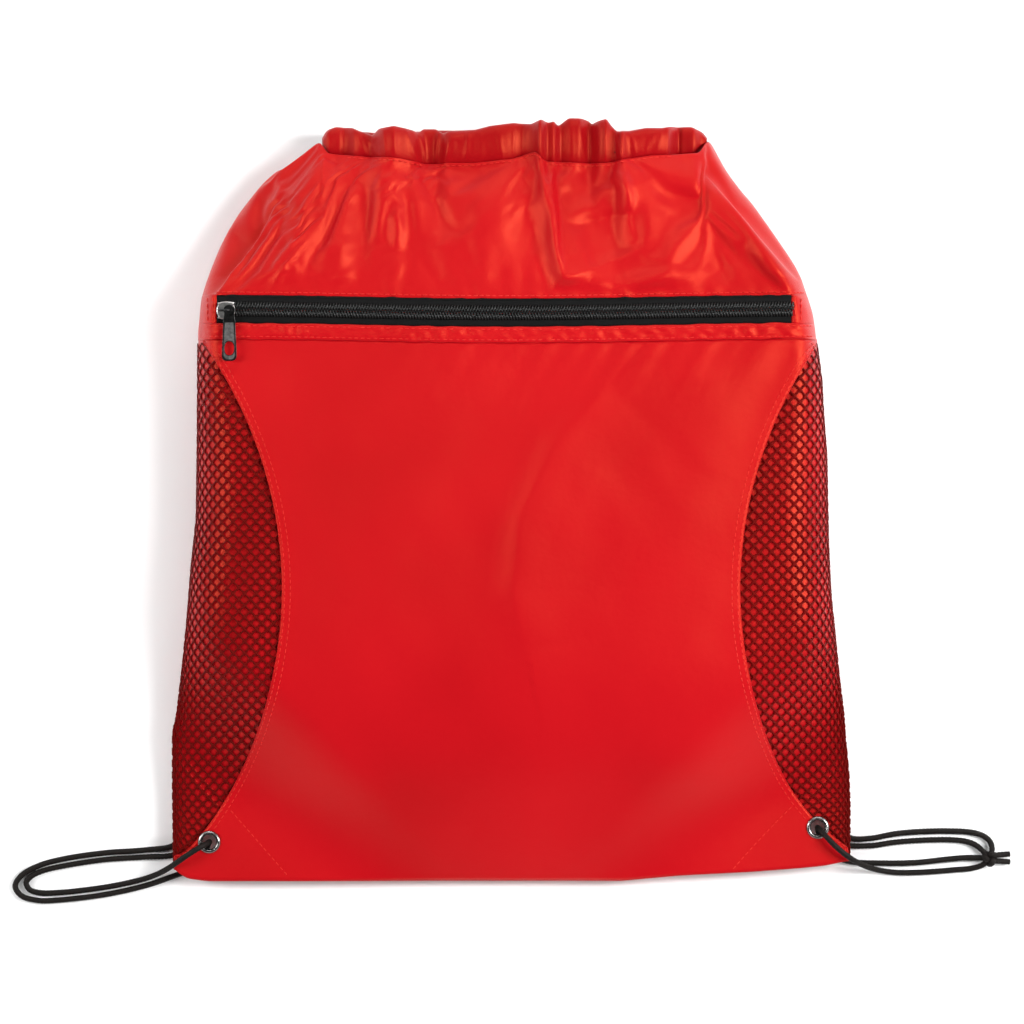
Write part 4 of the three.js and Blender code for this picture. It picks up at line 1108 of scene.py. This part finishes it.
def flat_part(name, outlines, low, high, bevel, material, body):
    """A plate with round edges between two heights; the first outline is its edge, the others its holes."""
    curve = bpy.data.curves.new(name, "CURVE")
    curve.dimensions = "2D"
    curve.fill_mode = "BOTH"
    curve.extrude = ((high - low) / 2 - bevel) * MM
    curve.bevel_depth = bevel * MM
    curve.bevel_resolution = 3
    for outline in outlines:
        spline_data = curve.splines.new("POLY")
        spline_data.points.add(len(outline) - 1)
        for point, (x, y) in zip(spline_data.points, outline):
            point.co = (x * MM, y * MM, 0, 1)
        spline_data.use_cyclic_u = True
    curve.offset = -bevel * MM
    holder = linked(name + "_outline", curve)
    bpy.context.view_layer.update()
    mesh = bpy.data.meshes.new_from_object(holder.evaluated_get(bpy.context.evaluated_depsgraph_get()))
    bpy.data.objects.remove(holder)
    mesh.materials.clear()
    for vertex in mesh.vertices:
        vertex.co.y += SEAM_Y * MM
        vertex.co.z += (low + high) / 2 * MM
    obj = add_object(name, mesh, material, body)
    split = obj.modifiers.new("edges", "EDGE_SPLIT")
    split.split_angle = math.radians(40)
    return obj


def oval(x, y, half_x, half_y, count, power=1.0):
    """An ellipse, squarer with a power under 1."""
    t = np.arange(count) * 2 * math.pi / count
    c, s = np.cos(t), np.sin(t)
    return [(x + half_x * np.sign(a) * abs(a) ** power, y + half_y * np.sign(b) * abs(b) ** power)
            for a, b in zip(c, s)]


# ---- zipper ----
COIL_PITCH, COIL_WIRE = 1.55, 0.33
COIL_MIDDLE, COIL_WIDTH, COIL_HEIGHT = 1.72, 1.92, 0.82  # off the zipper's line, and half sizes
COIL_LEAN = 0.36  # how far a turn runs on and back along the chain
SEWING_ROWS = (4.05, 6.6)  # threads along each half of the tape, off the zipper's line
CHAIN_RIGHT = 151.6  # where the right tab's fold covers the chain
PIVOT = (-151.0, ZIP_Y)


def tape_material():
    nodes = Nodes("zipper_tape")
    place = nodes.add("SeparateXYZ", {0: nodes.add("TexCoord").outputs["UV"]})
    across = nodes.math("MULTIPLY", place.outputs[0], 5200.0)
    ribs = nodes.math("SINE", nodes.math("MULTIPLY_ADD", place.outputs[1], 9000.0, across))
    fibres = nodes.noise(1500.0)
    nodes.set(Base_Color=nodes.colours(fibres, [(0.3, (0.002,) * 3), (0.7, (0.006,) * 3)]))
    nodes.set(Roughness=nodes.math("MULTIPLY_ADD", fibres, 0.15, 0.6), Specular_IOR_Level=0.12)
    nodes.set(Normal=nodes.bump(ribs, 0.5, 0.00008))
    return nodes.material


def make_tape(side, sign, material):
    """One half of the woven tape, from the chain out to under the hem or the upper panel."""
    x = np.linspace(TAPE_LEFT + 0.2, CHAIN_RIGHT, 480)
    y = (ZIP_Y + sign * np.array([0.7, 1.8, 3.2, 4.4, 5.6, 6.6, 7.6])[::sign])[:, None]
    points = front(x, y, 0.2)
    points[..., 2] += 0.12 * ripple(points[..., 0], y, 81 + sign, 12)
    cloth_sheet(f"zipper_tape_{side}_cloth", points, [f"zipper_tape_{side}"], material=material,
                slot="zipper_tape")


def make_coil(side, sign, material):
    """One wire in flat turns; the upper half's turns fall between the lower half's."""
    turns = int((CHAIN_RIGHT - TAPE_LEFT - 1.6) / COIL_PITCH)
    phase = np.linspace(0, turns, turns * 12 + 1)
    angle = 2 * math.pi * phase
    along = TAPE_LEFT + 1.2 + COIL_PITCH * (phase + (0.5 if sign > 0 else 0.0)) - COIL_LEAN * np.cos(angle)
    across = ZIP_Y + sign * COIL_MIDDLE + sign * COIL_WIDTH * -np.cos(angle)
    base = front(along, ZIP_Y)
    height = base[:, 2] + 1.15 + COIL_HEIGHT * np.sin(angle)
    path = np.stack([along, across + base[:, 1] - ZIP_Y, height], axis=1)
    wire = mesh_object(f"zipper_coil_{side}_wire", *tube(path, COIL_WIRE, 6), material)
    stand_for(wire, "zipper_coil", f"zipper_coil_{side}")


def make_coil_sewing(side, sign, material):
    """The two rows of thread along one half of the tape, pulled in between the coil's turns."""
    x = np.linspace(TAPE_LEFT + 2, CHAIN_RIGHT, 2300)
    at = front(x, ZIP_Y)
    rise = -0.12 + 0.1 * np.cos(2 * math.pi * (x - TAPE_LEFT) / COIL_PITCH)
    paths = [np.stack([x, at[:, 1] + sign * row, at[:, 2] + rise], axis=1)[::2] for row in SEWING_ROWS]
    thread = joined([tube(path, 0.14, 5) for path in paths])
    sewing = mesh_object(f"zipper_coil_{side}_thread", *thread, material)
    stand_for(sewing, "zipper_tape", f"zipper_coil_{side}")


def make_zipper():
    tape = tape_material()
    coil = grained_material("zipper_coil", (0.004, 0.004, 0.004), (0.013, 0.013, 0.012), 0.22, 0.15,
                            (700.0, 3.0), (0.15, 0.00005), Specular_IOR_Level=0.42)
    for side, sign in (("lower", -1), ("upper", 1)):
        make_tape(side, sign, tape)
        make_coil(side, sign, coil)
        make_coil_sewing(side, sign, tape)


def make_slider():
    """Two plates joined by a wedge, side rails under the top one, and the bridge that holds the pull."""
    bright = metal_material("slider_metal", (0.42, 0.41, 0.40), (0.68, 0.67, 0.65), 0.24)
    dark = metal_material("pull_metal", (0.03, 0.03, 0.031), (0.085, 0.084, 0.082), 0.36)
    x, y = PIVOT[0] - 1.9, PIVOT[1]
    plate, wedge = oval(x, y, 5.0, 4.7, 64, 0.88), oval(x - 3.4, y, 1.3, 0.62, 24)
    parts = [flat_part("slider_top_plate", [plate], 54.5, 55.6, 0.4, bright, "slider"),
             flat_part("slider_bottom_plate", [plate], 50.2, 51.1, 0.3, bright, "slider"),
             flat_part("slider_wedge", [wedge], 51.0, 54.7, 0.2, bright, "slider")]
    for side, sign in (("lower", -1), ("upper", 1)):
        rail = spline([(x - 4.3, y + sign * 3.6, 54.1), (x, y + sign * 4.35, 54.1),
                       (x + 4.3, y + sign * 3.9, 54.1)], 0.3)
        parts.append(mesh_object(f"slider_rail_{side}", *tube(rail, 0.55, 10), bright, "slider"))
    arch = [(-5.6, 55.3), (-5.7, 56.6), (-5.0, 57.7), (-3.2, 58.15), (-1.2, 58.15), (-0.1, 57.7),
            (0.0, 56.6), (0.0, 55.3)]  # along from the pivot, and height
    bridge = spline([(PIVOT[0] + along, y, z) for along, z in arch], 0.2)
    parts.append(mesh_object("slider_bridge", *tube(bridge, 0.62, 12, 0.8), dark, "slider"))
    for part in parts:
        stand_for(part, "slider_metal", "zipper_slider")


PULL_LOW, PULL_HIGH = 55.95, 57.05  # heights of the pull's plate
RIM_LOW = 56.7
WINDOW_BELOW_PIVOT = 20.4


def make_pull():
    """A plate with a round eye and an oval window, and raised rims round all three edges."""
    dark = metal_material("pull_face", (0.10, 0.098, 0.096), (0.24, 0.235, 0.23), 0.38, 0.2)
    rim = metal_material("pull_rim", (0.015, 0.015, 0.015), (0.05, 0.05, 0.05), 0.28)
    px, py = PIVOT
    head = [(3.1 * math.sin(a), 3.1 * math.cos(a)) for a in np.linspace(-2.1, 2.1, 25)]
    side = [(3.25, -6.0), (3.5, -13.0), (3.9, -21.0), (4.0, -24.3)]
    tip = [(3.75, -25.6), (3.1, -26.6), (2.0, -27.1), (0.0, -27.2)]
    half = side + tip
    outline = [(px + a, py + b) for a, b in head + half + [(-a, b) for a, b in half[::-1][1:]]]
    inset = [(px + (a - px) * 0.74, py - 14.6 + (b - py + 14.6) * 0.93)
             for a, b in outline if b - py < -3.2]
    eye = oval(px, py, 1.3, 1.3, 28)
    window = oval(px, py - WINDOW_BELOW_PIVOT, 2.6, 3.7, 40, 0.9)
    window_rim = [oval(px, py - WINDOW_BELOW_PIVOT, 3.0, 4.1, 40, 0.9), window]
    eye_ring = [oval(px, py, 3.0, 3.0, 40), oval(px, py, 1.5, 1.5, 28)]
    for part in (flat_part("pull_plate", [outline, eye, window], PULL_LOW, PULL_HIGH, 0.25, dark, "pull"),
                 flat_part("pull_raised_rim", [outline, inset], RIM_LOW, 57.35, 0.18, rim, "pull"),
                 flat_part("pull_window_rim", window_rim, RIM_LOW, 57.3, 0.15, rim, "pull"),
                 flat_part("pull_eye_ring", eye_ring, RIM_LOW, 57.4, 0.2, rim, "pull")):
        stand_for(part, "pull_metal", "zipper_pull")


# ---- eyelets ----
BARREL = [  # from the bore up, over the front rim and back down to the rolled foot
    (4.0, 7.7), (4.0, 14.0), (4.15, 14.7), (4.5, 15.1), (5.0, 15.25), (5.5, 15.1), (5.95, 14.75),
    (6.2, 14.3), (6.15, 14.15), (4.7, 14.05), (4.62, 8.4), (5.0, 7.95), (5.6, 7.75), (5.75, 7.5),
    (5.3, 7.25), (4.6, 7.2), (4.2, 7.35)
]
WASHER = [(4.95, 8.0), (5.1, 7.85), (5.8, 7.85), (6.1, 7.6), (6.2, 7.9), (6.1, 8.2), (5.0, 8.25)]


def make_eyelets():
    metal = metal_material("eyelet_metal", (0.20, 0.195, 0.19), (0.46, 0.45, 0.44), 0.2)
    for side, centre in EYELETS.items():
        turned(f"eyelet_barrel_{side}", BARREL, centre, metal, "eyelet_metal", f"eyelet_{side}")
        turned(f"eyelet_ring_{side}", WASHER, centre, metal, "eyelet_metal", f"eyelet_washer_{side}")


for corner in SIGN:
    make_net(corner)
make_zipper()
make_slider()
make_pull()
make_eyelets()

# ---- stitching ----
STITCH_LENGTH, STITCH_GAP, THREAD_RADIUS = 2.5, 0.9, 0.27
# Rings along one stitch: (share of its length, share of its radius, rise above the cloth).
STITCH_RINGS = [(0, 0.35, -0.24), (0.14, 0.9, -0.02), (0.5, 1.0, 0.10), (0.86, 0.9, -0.02),
                (1.0, 0.35, -0.24)]
STITCH_SIDES = 6
TAB_SEAM = {"left": 159.6, "right": 152.2}  # how far across the inner of the two rows on each tab is
SEAMS_END = 161.5  # how far across the rows along the hem reach


def stitches_along(path, normals):
    """Points of a row of stitches lying on the cloth along a path, as arrays of capsules."""
    run = distance_along(path)
    starts = np.arange(0.4, run[-1] - STITCH_LENGTH, STITCH_LENGTH + STITCH_GAP)
    shares, sizes, rises = np.array(STITCH_RINGS).T
    at = starts[:, None] + shares * STITCH_LENGTH
    centre = np.stack([np.interp(at, run, path[:, k]) for k in range(3)], axis=-1)
    up = np.stack([np.interp(at, run, normals[:, k]) for k in range(3)], axis=-1)
    tangent = np.gradient(centre, axis=1)
    tangent /= np.linalg.norm(tangent, axis=2)[..., None]
    side = np.cross(tangent, up)
    side /= np.linalg.norm(side, axis=2)[..., None]
    centre = centre + up * rises[:, None]
    angle = np.arange(STITCH_SIDES)[:, None] * 2 * math.pi / STITCH_SIDES
    ring = np.cos(angle) * side[:, :, None] + np.sin(angle) * up[:, :, None]
    return centre[:, :, None] + ring * (THREAD_RADIUS * sizes)[:, None, None]


def stitch_rows(name, rows, node):
    """All rows of stitching of one seam as one mesh; each row is (path, normals)."""
    rings = len(STITCH_RINGS)
    first, last = tuple(range(STITCH_SIDES)), tuple(range((rings - 1) * STITCH_SIDES, rings * STITCH_SIDES))
    single = [face[::-1] for face in grid_faces(rings, STITCH_SIDES, wrap=True) + [first[::-1], last]]
    stitches = [stitch.reshape(-1, 3) for row in rows for stitch in stitches_along(*row)]
    obj = mesh_object(name, *joined([(stitch, single) for stitch in stitches]), RED_THREAD)
    stand_for(obj, "red_fabric", node)


def across_front(x, y, rise=0.0, depth=0.0):
    """A path on the front through places given by x across and y up the cloth."""
    x, y = np.broadcast_arrays(np.asarray(x, dtype=float), np.asarray(y, dtype=float))
    q = np.sign(x) * reach_of(x, y, np.abs(x))
    return on_front(q, y, rise, depth)


def clear_of_eyelets(row):
    """The stretches of a row that stay off the eyelets' rims."""
    path, normals = row
    keep = np.ones(len(path), dtype=bool)
    for centre in EYELETS.values():
        keep &= np.linalg.norm(path[:, :2] - np.array(centre), axis=1) > EYELET_HOLE + 2
    changes = np.flatnonzero(np.diff(np.concatenate([[0], keep, [0]])))
    stretches = zip(changes[::2], changes[1::2])
    return [(path[begin:end], normals[begin:end]) for begin, end in stretches if end - begin > 6]


def patch_seam(sign, inset, shown):
    """The patch's slanting seam, on the pocket's panel where it is shown, or else under the net."""
    x = np.linspace(BAG_HALF_WIDTH - 2.5, BAG_HALF_WIDTH - PATCH_WIDTH + 1, 500)
    y = PATCH_HEIGHT * (1 - (BAG_HALF_WIDTH - x) / PATCH_WIDTH) - inset
    if shown:
        kept, lies = x < hourglass(y) - 6, (0.0, 0.0)
    else:
        kept, lies = (x > hourglass(y) + 1) & (x < OUTLINE[sign](y) - 2), (0.05, WALL_DEPTH)
    kept = kept & (y > 1.0)
    return clear_of_eyelets(tuple(part[kept] for part in across_front(sign * x, y, *lies)))


def sew():
    """Every row of stitching that shows, or shows through the net."""
    for side, sign in SIGN.items():
        y = np.linspace(5, POCKET_TOP - 1.5, 1200)
        edge = reach_of(sign, y, hourglass(y))
        rows = [row for inset in (1.6, 4.6) for row in clear_of_eyelets(on_front(sign * (edge - inset), y))]
        stitch_rows(f"waist_stitching_{side}", rows, "front_pocket_panel")
        stitch_rows(f"patch_stitching_{side}", patch_seam(sign, 0, shown=True), "front_pocket_panel")
        rows = patch_seam(sign, 0, shown=False) + patch_seam(sign, 5.46, shown=False)
        rows = [row for row in rows if len(row[0]) > 12]
        stitch_rows(f"patch_stitching_under_net_{side}", rows, "pocket_back_panel")
        y = np.linspace(HEM_TOP + 0.8, UPPER_BOTTOM - 0.8, 60)
        inner = TAB_SEAM[side]
        rows = [on_front(sign * reach_of(sign, y, x), y, 0.85) for x in (inner, inner + 3)]
        stitch_rows(f"tab_stitching_{side}", rows, f"zipper_end_tab_{side}")
    q = np.linspace(-reach_of(-1, POCKET_TOP, SEAMS_END), reach_of(1, POCKET_TOP, SEAMS_END), 1400)
    stitch_rows("hem_stitching_lower", [on_front(q, POCKET_TOP + 1.5, 1.15)], "pocket_top_hem")
    stitch_rows("hem_stitching_upper", [on_front(q, HEM_TOP - 1.5, 1.05)], "pocket_top_hem")
    stitch_rows("upper_panel_stitching", [on_front(q * 0.985, UPPER_BOTTOM + 1.6)], "upper_front_panel")
    x = np.linspace(-89, 89, 900)
    under_channel = across_front(x, STITCH_LINE(x) - 1.0, 0.3)
    stitch_rows("channel_stitching_front", [under_channel], "upper_front_panel")


sew()

# ---- studio, in metres ----
FLOOR_RADIUS = 1.35


def paper_material():
    nodes = Nodes("floor_paper")
    nodes.set(Base_Color=nodes.colours(nodes.noise(6.0), [(0.3, (0.93,) * 3), (0.7, (0.95,) * 3)]))
    nodes.set(Roughness=0.9, Normal=nodes.bump(nodes.noise(900.0), 0.05, 0.0002))
    return nodes.material


def make_floor():
    """A round table top, ending where the white walls take over."""
    turn = np.linspace(0, 2 * math.pi, 96, endpoint=False)
    rim = [(FLOOR_RADIUS * math.cos(a), FLOOR_RADIUS * math.sin(a), -0.0003) for a in turn]
    mesh = bpy.data.meshes.new("floor")
    mesh.from_pydata(rim, [], [tuple(range(len(rim)))])
    mesh.materials.append(paper_material())
    linked("floor", mesh)


def area_light(name, place, target, size, power):
    """A white softbox of a width and height, aimed at a target."""
    data = bpy.data.lights.new(name, "AREA")
    data.shape = "RECTANGLE"
    data.size, data.size_y = size
    data.energy = power
    light = linked(name, data)
    light.location = place
    aim = np.array(target, dtype=float) - np.array(place, dtype=float)
    yaw = math.atan2(aim[1], aim[0])
    tilt = math.atan2(math.hypot(aim[0], aim[1]), -aim[2])
    light.rotation_euler = (tilt, 0, yaw - math.pi / 2)
    return light


def make_lights():
    """White walls that darken upwards, and four softboxes."""
    world = bpy.data.worlds.new("world")
    world.use_nodes = True
    tree = world.node_tree
    place = tree.nodes.new("ShaderNodeTexCoord")
    split = tree.nodes.new("ShaderNodeSeparateXYZ")
    walls = tree.nodes.new("ShaderNodeMapRange")
    walls.interpolation_type = "SMOOTHSTEP"
    for socket, value in (("From Min", 0.12), ("From Max", 0.62), ("To Min", 1.0), ("To Max", 0.06)):
        walls.inputs[socket].default_value = value
    tree.links.new(place.outputs["Generated"], split.inputs[0])
    tree.links.new(split.outputs["Z"], walls.inputs["Value"])
    background = tree.nodes["Background"]
    background.inputs["Color"].default_value = (1, 1, 1, 1)
    tree.links.new(walls.outputs["Result"], background.inputs["Strength"])
    bpy.context.scene.world = world
    area_light("softbox_right", (1.35, 0.25, 1.45), (0, 0.02, 0), (0.5, 1.2), 48)
    area_light("softbox_left", (-1.5, 0.3, 1.35), (0, 0, 0), (0.5, 1.2), 24)
    area_light("softbox_top", (0.0, 1.9, 1.4), (0, 0.05, 0), (1.6, 0.5), 16)
    low = area_light("softbox_bottom", (0.0, -2.1, 1.2), (0, 0, 0), (1.8, 0.5), 21)
    low.visible_glossy = False  # it fills the bottom of the bag without a grey shine
    bpy.context.scene.view_settings.view_transform = "Standard"


make_camera()
make_floor()
make_lights()
